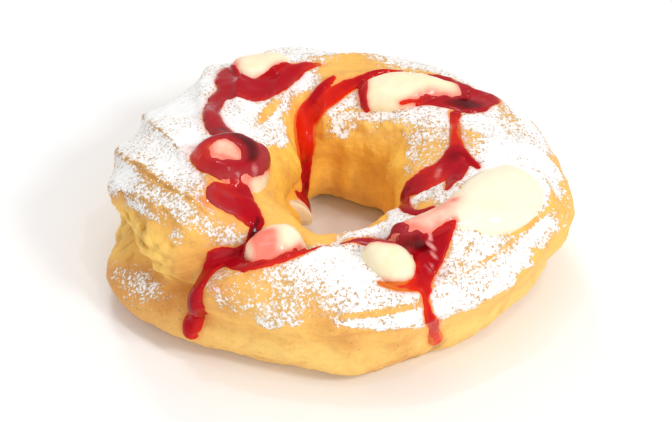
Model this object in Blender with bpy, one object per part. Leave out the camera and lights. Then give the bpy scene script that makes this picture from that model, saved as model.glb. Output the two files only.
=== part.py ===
"""Zeppola: a ring of choux pastry piped in two rounds, dressed with fruit sauce and dollops of cream.

Metres, +Z up, front at -Y. The origin is the middle of the whole pastry, on the surface it stands on.
A place on the ring is two angles in degrees. The ring angle runs round the hole, 0 at +X and 90 at +Y.
The section angle runs round the piped strand, 0 outwards, 90 at the crown, 180 towards the hole.
"""

from collections import namedtuple

import bmesh
import bpy
import numpy as np

MM = 0.001

Crest = namedtuple("Crest", "height above below path")
Groove = namedtuple("Groove", "depth half_width path")
Lump = namedtuple("Lump", "height half_length half_width place")
Stream = namedtuple("Stream", "thickness path")
Dollop = namedtuple("Dollop", "height flatness spines")


def millimetres(*sizes):
    return np.array(sizes) * MM


# The ring, with a station every 30 degrees of the ring angle
UPPER_RADIUS = millimetres(63.0, 58.0, 54.0, 53.5, 53.0, 50.5, 54.0, 55.0, 53.5, 54.0, 57.5, 62.0)
LOWER_RADIUS = millimetres(60.5, 59.0, 57.0, 55.5, 54.0, 54.0, 55.5, 56.5, 52.0, 51.5, 53.5, 58.5)
HOLE_RADIUS = millimetres(16.5, 15.0, 14.0, 14.0, 9.0, 5.5, 5.5, 9.5, 15.5, 21.0, 21.0, 19.0)
CROWN_HEIGHT = millimetres(33.0, 33.0, 33.0, 33.0, 33.5, 35.0, 37.0, 37.5, 34.0, 33.0, 33.0, 33.0)
CREASE_SOFTNESS = millimetres(7.0, 7.0, 7.0, 7.0, 6.0, 4.0, 2.5, 1.5, 4.0, 9.0, 9.0, 8.0)

CREASE_HEIGHT = 15.0 * MM
UPPER_HALF_HEIGHT = 12.5 * MM
LOWER_MID_HEIGHT = 8.5 * MM
LOWER_HALF_HEIGHT = 11.5 * MM
UPPER_INSET = 1.0 * MM
CREASE_FILL = 0.12

# The hole's middle, where the ring angle is measured, against the middle of the whole pastry
RING_X = -3.9 * MM
RING_Y = 0.3 * MM

# How far a turn of each angle reaches over the surface
STRAND_RADIUS = 20.0 * MM
RING_RADIUS = 38.0 * MM

PATH_STEPS = 5
LIP_ROUNDING = 0.8 * MM
CREST_FADE = 0.2
GROOVE_FADE = 0.12

# Crests left by the star tip: height, reach of the slope above and below, path as (ring, section) angles
CRESTS = {
    "left_high": Crest(2.4 * MM, 6.0 * MM, 2.2 * MM,
                       [(146, 16), (162, 38), (179, 64), (201, 81), (218, 86), (234, 88)]),
    "left_middle": Crest(2.4 * MM, 5.0 * MM, 2.2 * MM,
                         [(164, 14), (178, 34), (188, 46), (198, 56), (222, 69), (238, 66)]),
    "left_low": Crest(1.8 * MM, 4.5 * MM, 2.2 * MM,
                      [(184, 18), (196, 36), (209, 50), (221, 56), (236, 50)]),
    "front_high": Crest(2.6 * MM, 5.0 * MM, 2.4 * MM,
                        [(229, 14), (240, 32), (254, 58), (262, 74), (271, 88), (279, 98), (294, 110)]),
    "front_middle": Crest(2.2 * MM, 6.0 * MM, 2.0 * MM,
                          [(262, 20), (278, 30), (296, 36), (305, 54), (319, 74), (332, 92), (344, 112)]),
    "front_low": Crest(1.8 * MM, 4.0 * MM, 2.0 * MM,
                       [(262, 6), (278, 18), (296, 19), (308, 22), (318, 36)]),
    "right_short": Crest(1.6 * MM, 4.0 * MM, 2.0 * MM,
                         [(303, 34), (307, 45), (315, 54), (323, 66), (334, 80)]),
    "right_low": Crest(2.0 * MM, 6.0 * MM, 2.2 * MM,
                       [(300, 12), (318, 19), (335, 26), (348, 45), (358, 70), (368, 95), (388, 150)]),
    "right_high": Crest(2.2 * MM, 7.0 * MM, 2.2 * MM,
                        [(334, 6), (347, 22), (360, 45), (375, 68), (392, 104), (417, 126), (436, 134),
                         (449, 147), (456, 163)]),
    "back_1": Crest(1.8 * MM, 6.0 * MM, 2.4 * MM,
                    [(5, 4), (22, 32), (42, 62), (68, 88), (92, 112), (112, 140)]),
    "back_2": Crest(1.8 * MM, 6.0 * MM, 2.4 * MM,
                    [(40, 4), (60, 34), (80, 62), (104, 86), (124, 112), (138, 142)]),
    "back_3": Crest(2.0 * MM, 6.0 * MM, 2.4 * MM,
                    [(76, 4), (96, 34), (114, 62), (138, 86), (158, 108), (172, 138)]),
    "back_4": Crest(2.0 * MM, 6.0 * MM, 2.4 * MM,
                    [(108, 4), (128, 34), (146, 62), (168, 86), (190, 104), (208, 128)]),
    "inner_right": Crest(1.6 * MM, 5.0 * MM, 2.2 * MM,
                         [(344, 128), (364, 150), (380, 166)]),
}

# Hollows: the seam where the strand ends over its own start, the channel along the front, the burst
GROOVES = {
    "seam": Groove(6.0 * MM, 4.6 * MM,
                   [(223, -10), (227, 8), (230, 25), (233, 38), (237, 49), (242, 62), (248, 75), (256, 88), (268, 99)]),
    "channel": Groove(3.6 * MM, 5.5 * MM,
                      [(256, 86), (266, 95), (278, 97), (290, 93), (300, 90)]),
    "front_pool": Groove(3.0 * MM, 5.0 * MM,
                         [(300, 92), (302, 74), (301, 56), (303, 38)]),
    "burst": Groove(5.0 * MM, 5.2 * MM,
                    [(164, -6), (180, -3), (192, 4), (204, 18), (216, 25), (227, 22)]),
    "back_run": Groove(2.0 * MM, 4.5 * MM,
                       [(96, 96), (104, 120), (110, 150), (112, 180)]),
}

# Swellings: height, half length round the ring, half width round the strand, (ring, section) angles
LUMPS = {
    "torn_crumb": Lump(4.2 * MM, 4.5 * MM, 4.5 * MM, (212, 24)),
    "torn_crumb_left": Lump(1.8 * MM, 3.5 * MM, 5.0 * MM, (200, 6)),
    "lower_lip": Lump(2.6 * MM, 14.0 * MM, 5.5 * MM, (206, -19)),
    "front_foot": Lump(2.2 * MM, 10.0 * MM, 7.0 * MM, (277, -30)),
    "strand_end": Lump(2.6 * MM, 8.0 * MM, 8.0 * MM, (227, 64)),
    "inner_knob": Lump(2.0 * MM, 5.0 * MM, 6.0 * MM, (90, 140)),
}

# Unevenness of the oven: turns of the ring angle and of the section angle, height, phase
WAVES = [
    (3, 1, 0.45 * MM, 0.4),
    (5, 2, 0.35 * MM, 2.1),
    (7, -3, 0.25 * MM, 4.0),
    (11, 4, 0.20 * MM, 1.2),
    (13, -2, 0.20 * MM, 5.1),
]

# Thick sauce: thickness, path as (ring angle, section angle, half width in mm)
SAUCE = {
    "round_back_cream": Stream(1.1 * MM, [
        (126, 56, 2.6), (134, 72, 4.0), (138, 84, 5.4), (129, 94, 5.0), (118, 98, 4.2), (110, 95, 3.0), (104, 86, 2.2)]),
    "left_neck": Stream(0.9 * MM, [
        (138, 80, 3.4), (146, 77, 2.6), (156, 83, 1.9), (168, 91, 2.4), (176, 98, 3.4), (184, 106, 4.4)]),
    "round_left_cream": Stream(1.0 * MM, [
        (184, 102, 4.0), (190, 91, 3.0), (202, 89, 2.2), (211, 93, 3.6), (215, 104, 3.8), (214, 116, 3.4),
        (203, 127, 2.6), (190, 128, 2.8), (182, 114, 4.4)]),
    "left_fall": Stream(1.0 * MM, [
        (224, 100, 3.6), (230, 95, 4.8), (236, 92, 4.2), (241, 88, 2.6), (243, 78, 1.8), (242, 66, 2.0),
        (239, 55, 2.6), (235, 44, 2.8), (232, 32, 2.6), (229, 18, 2.6), (227, 4, 2.5)]),
    "left_drip": Stream(1.0 * MM, [
        (227, 4, 2.5), (230, -5, 1.7), (232, -12, 2.3), (234, -17, 2.1), (235, -23, 1.4)]),
    "channel": Stream(0.9 * MM, [
        (239, 56, 2.6), (248, 60, 2.2), (256, 68, 1.8), (261, 84, 1.7), (267, 99, 1.9), (274, 105, 1.7),
        (283, 104, 1.8), (294, 102, 2.2)]),
    "back_branch": Stream(0.9 * MM, [
        (86, 106, 1.4), (92, 116, 1.9), (98, 125, 2.5), (104, 136, 2.8)]),
    "back_run": Stream(1.0 * MM, [
        (58, 76, 1.5), (66, 84, 1.9), (71, 98, 2.2), (77, 112, 2.6), (85, 123, 2.6), (95, 131, 2.5),
        (105, 139, 2.8), (110, 150, 2.2), (113, 165, 1.9), (114, 178, 1.8), (120, 186, 1.6)]),
    "round_far_cream": Stream(1.1 * MM, [
        (50, 70, 1.6), (43, 64, 3.2), (36, 63, 4.4), (30, 65, 6.0), (26, 66, 6.0), (24, 84, 4.6), (28, 96, 2.2),
        (34, 104, 1.5)]),
    "right_run": Stream(0.9 * MM, [
        (383, 88, 2.0), (375, 97, 1.6), (366, 102, 1.9), (358, 104, 2.8), (350, 104, 4.2), (346, 112, 4.8),
        (343, 124, 4.2), (339, 138, 3.0), (334, 147, 2.4), (324, 136, 2.3), (317, 122, 2.2), (315, 110, 2.4),
        (318, 102, 2.0)]),
    "front_pool": Stream(1.1 * MM, [
        (318, 74, 2.0), (312, 79, 3.4), (306, 84, 4.4), (306, 70, 3.8), (303, 60, 3.0), (300, 52, 3.0), (297, 45, 3.0),
        (297, 38, 1.6), (297, 31, 1.4), (297, 22, 1.5), (299, 10, 1.8), (300, -6, 2.3), (301, -20, 2.2)]),
}
SAUCE_EDGE = 2.2 * MM
SAUCE_BLEND = 0.8 * MM

# Cream: height over the strand, flatness of the ends, spines as (ring, section, half width in mm)
CREAM = {
    "cream_back": Dollop(4.6 * MM, 1.0, [[(127, 64, 6.4), (116, 71, 6.8), (105, 78, 6.4)]]),
    "cream_left": Dollop(6.2 * MM, 0.7, [[(177, 118, 7.0), (203, 112, 9.2), (231, 107, 8.0)]]),
    "cream_seam": Dollop(4.2 * MM, 0.9, [[(243, 54, 4.6), (249, 79, 6.2), (258, 106, 5.0)]]),
    "cream_hole": Dollop(3.2 * MM, 1.0, [[(113, 190, 3.2), (136, 190, 3.8), (170, 192, 3.2)]]),
    "cream_far": Dollop(4.6 * MM, 0.7, [[(64, 111, 6.5), (55, 101, 7.6), (47, 91, 6.6), (40, 80, 4.8), (33, 68, 2.6)]]),
    "cream_right": Dollop(4.8 * MM, 0.8, [
        [(349, 48, 8.0), (337, 63, 10.4), (324, 79, 8.0)],
        [(340, 58, 6.5), (329, 70, 7.8), (321, 79, 7.0), (314, 86, 5.6), (306, 92, 4.2), (296, 99, 2.8)],
    ]),
    "cream_front": Dollop(3.8 * MM, 0.9, [[(289, 93, 4.6), (292, 72, 6.0), (292, 48, 5.0)]]),
}
CREAM_DEPTH = 9.0 * MM
SEAT_GAP = 0.35 * MM

RING_SEGMENTS = 288
STRAND_SEGMENTS = 112
RING_FACE_SHARE = 0.16
CREAM_SEGMENTS = 18
CREAM_RINGS = 12

CHOUX_COLOUR = (0.78, 0.45, 0.14, 1.0)
CREAM_COLOUR = (0.93, 0.83, 0.62, 1.0)


def round_the_ring(stations, angle):
    """Value at each ring angle, on a smooth closed curve through evenly spaced stations."""
    place = (angle % 360) / (360 / len(stations))
    index = np.floor(place).astype(int)
    share = place - index
    before, start, end, after = (stations[(index + step) % len(stations)] for step in (-1, 0, 1, 2))
    return curve_through(before, start, end, after, share)


def curve_through(before, start, end, after, share):
    """Catmull-Rom curve between start and end."""
    slope = end - before
    bend = 2 * before - 5 * start + 4 * end - after
    twist = -before + 3 * start - 3 * end + after
    return start + 0.5 * share * (slope + share * (bend + share * twist))


def smooth_path(points):
    """The points of a path with others between them on a smooth curve."""
    path = np.array(points, dtype=float)
    ends = np.vstack([2 * path[0] - path[1], path, 2 * path[-1] - path[-2]])
    shares = np.arange(PATH_STEPS)[:, None] / PATH_STEPS
    spans = [curve_through(*ends[index:index + 4], shares) for index in range(len(path) - 1)]
    return np.vstack(spans + [path[-1:]])


def turned(angle, middle):
    """The angle as the one nearest to middle."""
    return (angle - middle + 180) % 360 - 180 + middle


def along_path(ring, section, path):
    """Distance to each span of a path, the side of it, the share of its length, and its index and share."""
    ring_reach = RING_RADIUS + STRAND_RADIUS * np.cos(np.radians(section))
    ring = turned(ring, path[:, 0].mean())
    section = turned(section, path[:, 1].mean())
    lengths = np.hypot(*(np.radians(np.diff(path[:, :2], axis=0)) * [RING_RADIUS, STRAND_RADIUS]).T)
    run = np.concatenate([[0], np.cumsum(lengths)]) / lengths.sum()
    for index, (start, end) in enumerate(zip(path[:-1], path[1:])):
        step_x = np.radians(end[0] - start[0]) * ring_reach
        step_y = np.radians(end[1] - start[1]) * STRAND_RADIUS
        to_x = np.radians(ring - start[0]) * ring_reach
        to_y = np.radians(section - start[1]) * STRAND_RADIUS
        share = np.clip((to_x * step_x + to_y * step_y) / (step_x**2 + step_y**2), 0, 1)
        distance = np.hypot(to_x - share * step_x, to_y - share * step_y)
        side = step_x * to_y - step_y * to_x
        yield distance, side, run[index] + share * (run[index + 1] - run[index]), index, share


def nearest_on_path(ring, section, points):
    """Distance to a path, the side of it and the share of its length, at its nearest span."""
    best = np.full(ring.shape, np.inf)
    side = np.zeros(ring.shape)
    share = np.zeros(ring.shape)
    for distance, span_side, span_share, _, _ in along_path(ring, section, smooth_path(points)):
        nearer = distance < best
        best = np.where(nearer, distance, best)
        side = np.where(nearer, span_side, side)
        share = np.where(nearer, span_share, share)
    return best, side, share


def ease(value):
    value = np.clip(value, 0, 1)
    return value * value * (3 - 2 * value)


def relief(ring, section):
    """Height of the crests, hollows and swellings over the two plain rounds."""
    height = np.zeros(ring.shape)
    for crest in CRESTS.values():
        distance, side, share = nearest_on_path(ring, section, crest.path)
        reach = np.where(side > 0, crest.above, crest.below)
        ends = ease(np.minimum(share, 1 - share) / CREST_FADE)
        away = np.hypot(distance, LIP_ROUNDING) - LIP_ROUNDING
        height += crest.height * ends * np.exp(-away / reach)
    for groove in GROOVES.values():
        distance, _, share = nearest_on_path(ring, section, groove.path)
        ends = ease(np.minimum(share, 1 - share) / GROOVE_FADE)
        height -= groove.depth * ends * np.exp(-(distance / groove.half_width)**2)
    for lump in LUMPS.values():
        round_ring = np.radians(turned(ring - lump.place[0], 0)) * RING_RADIUS / lump.half_length
        round_strand = np.radians(turned(section - lump.place[1], 0)) * STRAND_RADIUS / lump.half_width
        height += lump.height * np.exp(-round_ring**2 - round_strand**2)
    for ring_turns, strand_turns, swing, phase in WAVES:
        height += swing * np.sin(np.radians(ring_turns * ring + strand_turns * section) + phase)
    return height


def sauce_thickness(ring, section):
    """Thickness of the sauce, flat inside its streams and rounded off at their edges."""
    thickness = np.zeros(ring.shape)
    for stream in SAUCE.values():
        path = smooth_path(stream.path)
        inside = np.full(ring.shape, -np.inf)
        for distance, _, _, index, share in along_path(ring, section, path):
            half_width = (path[index, 2] + share * (path[index + 1, 2] - path[index, 2])) * MM
            inside = np.logaddexp(inside, (half_width - distance) / SAUCE_BLEND)
        edge = 1 - np.clip(inside * SAUCE_BLEND / SAUCE_EDGE, 0, 1)
        thickness = np.maximum(thickness, stream.thickness * (1 - edge**2))
    return thickness


def reach_of_round(across, up, mid_x, mid_z, half_x, half_z):
    """Distance to an ellipse along a direction, from a point inside it."""
    square = (across / half_x)**2 + (up / half_z)**2
    lean = across * mid_x / half_x**2 + up * mid_z / half_z**2
    rest = (mid_x / half_x)**2 + (mid_z / half_z)**2 - 1
    return (lean + np.sqrt(np.maximum(lean**2 - square * rest, 0))) / square


def soft_maximum(first, second, softness):
    share = np.clip(0.5 + 0.5 * (first - second) / softness, 0, 1)
    return second * (1 - share) + first * share + softness * share * (1 - share)


def place_on_ring(ring, section, height):
    """Point at each pair of angles, a height over the two plain rounds, never below the base."""
    upper, lower, hole, crown, softness = (
        round_the_ring(stations, ring)
        for stations in (UPPER_RADIUS, LOWER_RADIUS, HOLE_RADIUS, CROWN_HEIGHT, CREASE_SOFTNESS)
    )
    middle = (np.minimum(upper, lower) + hole) / 2
    across = np.cos(np.radians(section))
    up = np.sin(np.radians(section))
    upper_round = reach_of_round(
        across, up, (upper + hole + UPPER_INSET) / 2 - middle, crown - UPPER_HALF_HEIGHT - CREASE_HEIGHT,
        (upper - hole - UPPER_INSET) / 2, UPPER_HALF_HEIGHT,
    )
    lower_round = reach_of_round(
        across, up, (lower + hole) / 2 - middle, LOWER_MID_HEIGHT - CREASE_HEIGHT,
        (lower - hole) / 2, LOWER_HALF_HEIGHT,
    )
    out = soft_maximum(upper_round, lower_round, softness) - softness * CREASE_FILL + height
    radius = middle + out * across
    return np.stack([
        RING_X + radius * np.cos(np.radians(ring)),
        RING_Y + radius * np.sin(np.radians(ring)),
        np.maximum(CREASE_HEIGHT + out * up, 0),
    ], axis=-1)


def vertex_places(mesh):
    places = np.empty(len(mesh.vertices) * 3, dtype=np.float32)
    mesh.vertices.foreach_get("co", places)
    return places.reshape(-1, 3).astype(float)


def move_vertices(mesh, places):
    mesh.vertices.foreach_set("co", places.astype(np.float32).ravel())
    mesh.update()


def new_material(name, colour, roughness):
    material = bpy.data.materials.new(name)
    material.use_nodes = True
    shader = material.node_tree.nodes["Principled BSDF"]
    shader.inputs["Base Color"].default_value = colour
    shader.inputs["Roughness"].default_value = roughness
    shader.inputs["Metallic"].default_value = 0.0
    return material


def new_collection(name):
    collection = bpy.data.collections.new(name)
    bpy.context.scene.collection.children.link(collection)
    return collection


def move_to_collection(piece, collection):
    for owner in list(piece.users_collection):
        owner.objects.unlink(piece)
    collection.objects.link(piece)


def make_choux_ring(collection):
    """The baked ring with its thick sauce: a torus whose vertices move onto the piped form."""
    bpy.ops.mesh.primitive_torus_add(
        major_segments=RING_SEGMENTS, minor_segments=STRAND_SEGMENTS,
        major_radius=RING_RADIUS, minor_radius=STRAND_RADIUS,
    )
    choux = bpy.context.active_object
    choux.name = "choux_ring"
    choux.data.name = "choux_ring"
    x, y, z = vertex_places(choux.data).T
    ring = np.degrees(np.arctan2(y, x))
    section = np.degrees(np.arctan2(z, np.hypot(x, y) - RING_RADIUS))
    height = relief(ring, section) + sauce_thickness(ring, section)
    move_vertices(choux.data, place_on_ring(ring, section, height))
    choux.data.shade_smooth()
    choux.data.materials.append(new_material("choux", CHOUX_COLOUR, 0.6))
    fewer = choux.modifiers.new("fewer_faces", "DECIMATE")
    fewer.ratio = RING_FACE_SHARE
    move_to_collection(choux, collection)
    return choux


def make_cream_seat(choux, collection):
    """A copy of the ring, a gap larger, that cuts the underside of each dollop."""
    seat = choux.copy()
    seat.name = "cream_seat"
    collection.objects.link(seat)
    swell = seat.modifiers.new("gap", "DISPLACE")
    swell.strength = SEAT_GAP
    swell.mid_level = 0.0
    seat.hide_render = True
    seat.display_type = "WIRE"
    return seat


def keep_largest_piece(mesh):
    """Drop the loose scraps that a cut leaves."""
    shape = bmesh.new()
    shape.from_mesh(mesh)
    unseen = set(shape.verts)
    pieces = []
    while unseen:
        piece = {unseen.pop()}
        front = list(piece)
        while front:
            vertex = front.pop()
            for edge in vertex.link_edges:
                other = edge.other_vert(vertex)
                if other in unseen:
                    unseen.discard(other)
                    piece.add(other)
                    front.append(other)
        pieces.append(piece)
    largest = max(pieces, key=len)
    scraps = [vertex for piece in pieces if piece is not largest for vertex in piece]
    bmesh.ops.delete(shape, geom=scraps, context="VERTS")
    shape.to_mesh(mesh)
    shape.free()


def make_blob(name, height, flatness, spine, collection):
    """A sphere stretched along a spine and draped over the strand, its lower half deep inside it."""
    shape = bmesh.new()
    bmesh.ops.create_uvsphere(shape, u_segments=CREAM_SEGMENTS, v_segments=CREAM_RINGS, radius=1.0)
    mesh = bpy.data.meshes.new(name)
    shape.to_mesh(mesh)
    shape.free()
    x, y, z = vertex_places(mesh).T
    path = smooth_path(spine)
    place = (1 - z) / 2 * (len(path) - 1)
    stations = np.arange(len(path))
    ring, section, half_width = (np.interp(place, stations, path[:, column]) for column in range(3))
    ring_step = np.radians(np.interp(place, stations, np.gradient(path[:, 0]))) * RING_RADIUS
    section_step = np.radians(np.interp(place, stations, np.gradient(path[:, 1]))) * STRAND_RADIUS
    step = np.hypot(ring_step, section_step)
    round_off = np.maximum(1 - z**2, 0)**(flatness / 2)
    width = np.hypot(x, y)
    across = np.divide(x, width, out=np.zeros_like(x), where=width > 0) * round_off
    upward = np.divide(y, width, out=np.zeros_like(y), where=width > 0) * round_off
    offset = across * half_width * MM
    ring = ring - np.degrees(offset * section_step / step / RING_RADIUS)
    section = section + np.degrees(offset * ring_step / step / STRAND_RADIUS)
    move_vertices(mesh, place_on_ring(ring, section, upward * np.where(upward > 0, height, CREAM_DEPTH)))
    blob = bpy.data.objects.new(name, mesh)
    collection.objects.link(blob)
    return blob


def combine(piece, operation, other):
    """Join another closed piece to this one, or cut it away."""
    step = piece.modifiers.new(operation.lower(), "BOOLEAN")
    step.operation = operation
    step.object = other
    evaluated = piece.evaluated_get(bpy.context.evaluated_depsgraph_get())
    mesh = bpy.data.meshes.new_from_object(evaluated)
    piece.modifiers.clear()
    old_mesh = piece.data
    piece.data = mesh
    bpy.data.meshes.remove(old_mesh)
    mesh.name = piece.name


def make_dollop(name, dollop, seat, material, collection):
    """A soft dollop of cream, joined from its blobs and cut to its seat on the ring."""
    first, *others = (
        make_blob(name, dollop.height, dollop.flatness, spine, collection) for spine in dollop.spines
    )
    for other in others:
        combine(first, "UNION", other)
        bpy.data.objects.remove(other)
    combine(first, "DIFFERENCE", seat)
    keep_largest_piece(first.data)
    first.data.materials.clear()
    first.data.materials.append(material)
    first.data.shade_smooth()


def main():
    for left_over in list(bpy.data.objects):
        bpy.data.objects.remove(left_over)
    zeppola = new_collection("zeppola")
    cutters = new_collection("cutters")
    choux = make_choux_ring(zeppola)
    seat = make_cream_seat(choux, cutters)
    cream = new_material("cream", CREAM_COLOUR, 0.35)
    for name, dollop in CREAM.items():
        make_dollop(name, dollop, seat, cream, zeppola)


main()
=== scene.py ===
"""Zeppola: a ring of choux pastry with powdered sugar, fruit sauce and dollops of cream.

Metres, +Z up, front at -Y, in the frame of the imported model. A place on the ring is two angles in degrees.
The ring angle runs round the hole, 0 at +X and 90 at +Y. The section angle runs round the piped strand,
0 outwards, 90 at the crown, 180 towards the hole. Cream and sauce are modelled flat in those two angles and
then laid over the pastry.
"""

import math
from collections import namedtuple

import bmesh
import bpy
import numpy as np
from bpy.props import FloatProperty, FloatVectorProperty, IntProperty, PointerProperty
from mathutils import Matrix, Vector, noise


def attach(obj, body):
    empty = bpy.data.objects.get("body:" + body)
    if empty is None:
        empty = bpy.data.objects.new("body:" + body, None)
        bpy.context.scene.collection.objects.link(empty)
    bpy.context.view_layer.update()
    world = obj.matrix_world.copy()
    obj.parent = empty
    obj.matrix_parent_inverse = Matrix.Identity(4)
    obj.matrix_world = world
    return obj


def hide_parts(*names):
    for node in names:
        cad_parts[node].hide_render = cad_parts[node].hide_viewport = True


bl_info = {
    "name": "Zeppola",
    "version": (1, 0, 0),
    "blender": (4, 5, 0),
    "location": "View3D > Sidebar > Zeppola",
    "description": "Dresses the packed choux ring with crust, powdered sugar, fruit sauce and cream",
    "category": "Object",
}

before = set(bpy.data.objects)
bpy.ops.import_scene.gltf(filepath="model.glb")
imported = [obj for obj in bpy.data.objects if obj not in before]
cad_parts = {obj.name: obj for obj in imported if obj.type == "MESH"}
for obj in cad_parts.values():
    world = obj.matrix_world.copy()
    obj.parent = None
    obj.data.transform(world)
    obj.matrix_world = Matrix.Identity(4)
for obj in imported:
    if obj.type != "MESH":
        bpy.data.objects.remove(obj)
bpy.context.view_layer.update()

MM = 0.001

Crest = namedtuple("Crest", "height above below scorch path")
Groove = namedtuple("Groove", "depth half_width path")
Lump = namedtuple("Lump", "height half_length half_width place")
Stream = namedtuple("Stream", "thickness sugary path")
Dollop = namedtuple("Dollop", "height shoulder yolk spines")
Spot = namedtuple("Spot", "amount half_length half_width place")
Fade = namedtuple("Fade", "start reach")
Band = namedtuple("Band", "middle reach")
Lamp = namedtuple("Lamp", "place size watts")
Grain = namedtuple("Grain", "size octaves offset")
Texture = namedtuple("Texture", "size detail roughness stretch", defaults=(0.5, (1, 1, 1)))


def millimetres(*sizes):
    return np.array(sizes) * MM


def spots(*rows):
    """Spots from rows of amount, half length and half width in millimetres, ring and section angle."""
    return [
        Spot(amount, half_length * MM, half_width * MM, (ring, section))
        for amount, half_length, half_width, ring, section in rows
    ]


# The ring, with a station every 30 degrees of the ring angle
UPPER_RADIUS = millimetres(63.0, 58.0, 54.0, 53.5, 53.0, 50.5, 54.0, 55.0, 53.5, 54.0, 57.5, 62.0)
LOWER_RADIUS = millimetres(60.5, 59.0, 57.0, 55.5, 54.0, 54.0, 55.5, 56.5, 52.0, 51.5, 53.5, 58.5)
HOLE_RADIUS = millimetres(16.5, 15.0, 14.0, 14.0, 9.0, 5.5, 5.5, 9.5, 15.5, 21.0, 21.0, 19.0)
CROWN_HEIGHT = millimetres(33.0, 33.0, 33.0, 33.0, 33.5, 35.0, 37.0, 37.5, 34.0, 33.0, 33.0, 33.0)
CREASE_SOFTNESS = millimetres(7.0, 7.0, 7.0, 7.0, 6.0, 4.0, 2.5, 1.5, 4.0, 9.0, 9.0, 8.0)

CREASE_HEIGHT = 15.0 * MM
UPPER_HALF_HEIGHT = 12.5 * MM
LOWER_MID_HEIGHT = 8.5 * MM
LOWER_HALF_HEIGHT = 11.5 * MM
UPPER_INSET = 1.0 * MM
CREASE_FILL = 0.12
RING_X = -3.9 * MM
RING_Y = 0.3 * MM
STRAND_RADIUS = 20.0 * MM
RING_RADIUS = 38.0 * MM

PATH_STEPS = 5
LIP_ROUNDING = 0.45 * MM
CREST_FADE = 0.2
GROOVE_FADE = 0.12

# Crests left by the star tip: height, reach of the slope above and below, how far the line is scorched,
# path as (ring, section) angles
CRESTS = {
    "left_high": Crest(2.4 * MM, 6.0 * MM, 1.9 * MM, 0.8, [
        (146, 16), (162, 38), (179, 64), (201, 81), (218, 86), (234, 88)]),
    "left_middle": Crest(2.4 * MM, 5.0 * MM, 1.9 * MM, 1.0, [
        (164, 14), (178, 34), (188, 46), (198, 56), (222, 69), (238, 66)]),
    "left_low": Crest(1.8 * MM, 4.5 * MM, 2.2 * MM, 0.7, [
        (184, 18), (196, 36), (209, 50), (221, 56), (236, 50)]),
    "front_high": Crest(2.6 * MM, 5.0 * MM, 2.4 * MM, 0.3, [
        (229, 14), (240, 32), (254, 58), (262, 74), (271, 88), (279, 98), (294, 110)]),
    "front_middle": Crest(2.2 * MM, 6.0 * MM, 1.6 * MM, 0.6, [
        (262, 20), (278, 30), (296, 36), (305, 54), (319, 74), (332, 92), (344, 112)]),
    "front_low": Crest(1.8 * MM, 4.0 * MM, 1.6 * MM, 0.3, [
        (262, 6), (278, 18), (296, 19), (308, 22), (318, 36)]),
    "right_short": Crest(1.6 * MM, 4.0 * MM, 1.6 * MM, 0.4, [
        (303, 34), (307, 45), (315, 54), (323, 66), (334, 80)]),
    "right_low": Crest(2.0 * MM, 6.0 * MM, 1.9 * MM, 0.2, [
        (300, 12), (318, 19), (335, 26), (348, 45), (358, 70), (368, 95), (388, 150)]),
    "right_high": Crest(2.2 * MM, 7.0 * MM, 1.9 * MM, 0.2, [
        (334, 6), (347, 22), (360, 45), (371, 62)]),
    "inner_back": Crest(2.0 * MM, 5.0 * MM, 1.9 * MM, 0.7, [
        (388, 112), (404, 119), (417, 126), (436, 134), (449, 147), (456, 163)]),
    "back_1": Crest(1.8 * MM, 6.0 * MM, 2.0 * MM, 0.3, [
        (5, 4), (22, 32), (42, 62), (68, 88), (92, 112), (112, 140)]),
    "back_2": Crest(1.8 * MM, 6.0 * MM, 2.0 * MM, 0.3, [
        (40, 4), (60, 34), (80, 62), (104, 86), (124, 112), (138, 142)]),
    "back_3": Crest(2.0 * MM, 6.0 * MM, 2.0 * MM, 0.3, [
        (76, 4), (96, 34), (114, 62), (138, 86), (158, 108), (172, 138)]),
    "back_4": Crest(2.0 * MM, 6.0 * MM, 2.0 * MM, 0.3, [
        (108, 4), (128, 34), (146, 62), (168, 86), (190, 104), (208, 128)]),
    "inner_right": Crest(1.6 * MM, 5.0 * MM, 1.9 * MM, 0.5, [
        (344, 128), (364, 150), (380, 166)]),
}

# Hollows: the seam where the strand ends over its own start, the channel along the front, the burst
GROOVES = {
    "seam": Groove(6.0 * MM, 4.6 * MM, [
        (223, -10), (227, 8), (230, 25), (233, 38), (237, 49), (242, 62), (248, 75), (256, 88), (268, 99)]),
    "channel": Groove(3.6 * MM, 5.5 * MM, [(256, 86), (266, 95), (278, 97), (290, 93), (300, 90)]),
    "front_pool": Groove(3.0 * MM, 5.0 * MM, [(300, 92), (302, 74), (301, 56), (303, 38)]),
    "burst": Groove(5.0 * MM, 5.2 * MM, [(164, -6), (180, -3), (192, 4), (204, 18), (216, 25), (227, 22)]),
    "back_run": Groove(2.0 * MM, 4.5 * MM, [(96, 96), (104, 120), (110, 150), (112, 180)]),
    "front_fold": Groove(0.9 * MM, 1.8 * MM, [(276, 46), (272, 30), (268, 14), (270, -4), (277, -20)]),
    "front_dent": Groove(0.7 * MM, 2.4 * MM, [(246, 4), (258, -4), (268, -2), (276, 6)]),
}

# The ragged brown ridge along the top of the inner wall
RAGGED_RIDGE = [(80, 149), (70, 144), (56, 141), (45, 136), (34, 128), (18, 128)]

# Swellings: height, half length round the ring, half width round the strand, (ring, section) angles
LUMPS = {
    "torn_crumb": Lump(4.2 * MM, 4.0 * MM, 4.5 * MM, (216, 29)),
    "torn_crumb_left": Lump(1.8 * MM, 3.5 * MM, 5.0 * MM, (200, 6)),
    "lower_lip": Lump(2.6 * MM, 14.0 * MM, 5.5 * MM, (206, -19)),
    "front_foot": Lump(2.2 * MM, 10.0 * MM, 7.0 * MM, (277, -30)),
    "strand_end": Lump(2.6 * MM, 8.0 * MM, 8.0 * MM, (227, 64)),
    "inner_knob": Lump(2.0 * MM, 5.0 * MM, 6.0 * MM, (90, 140)),
}

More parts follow.
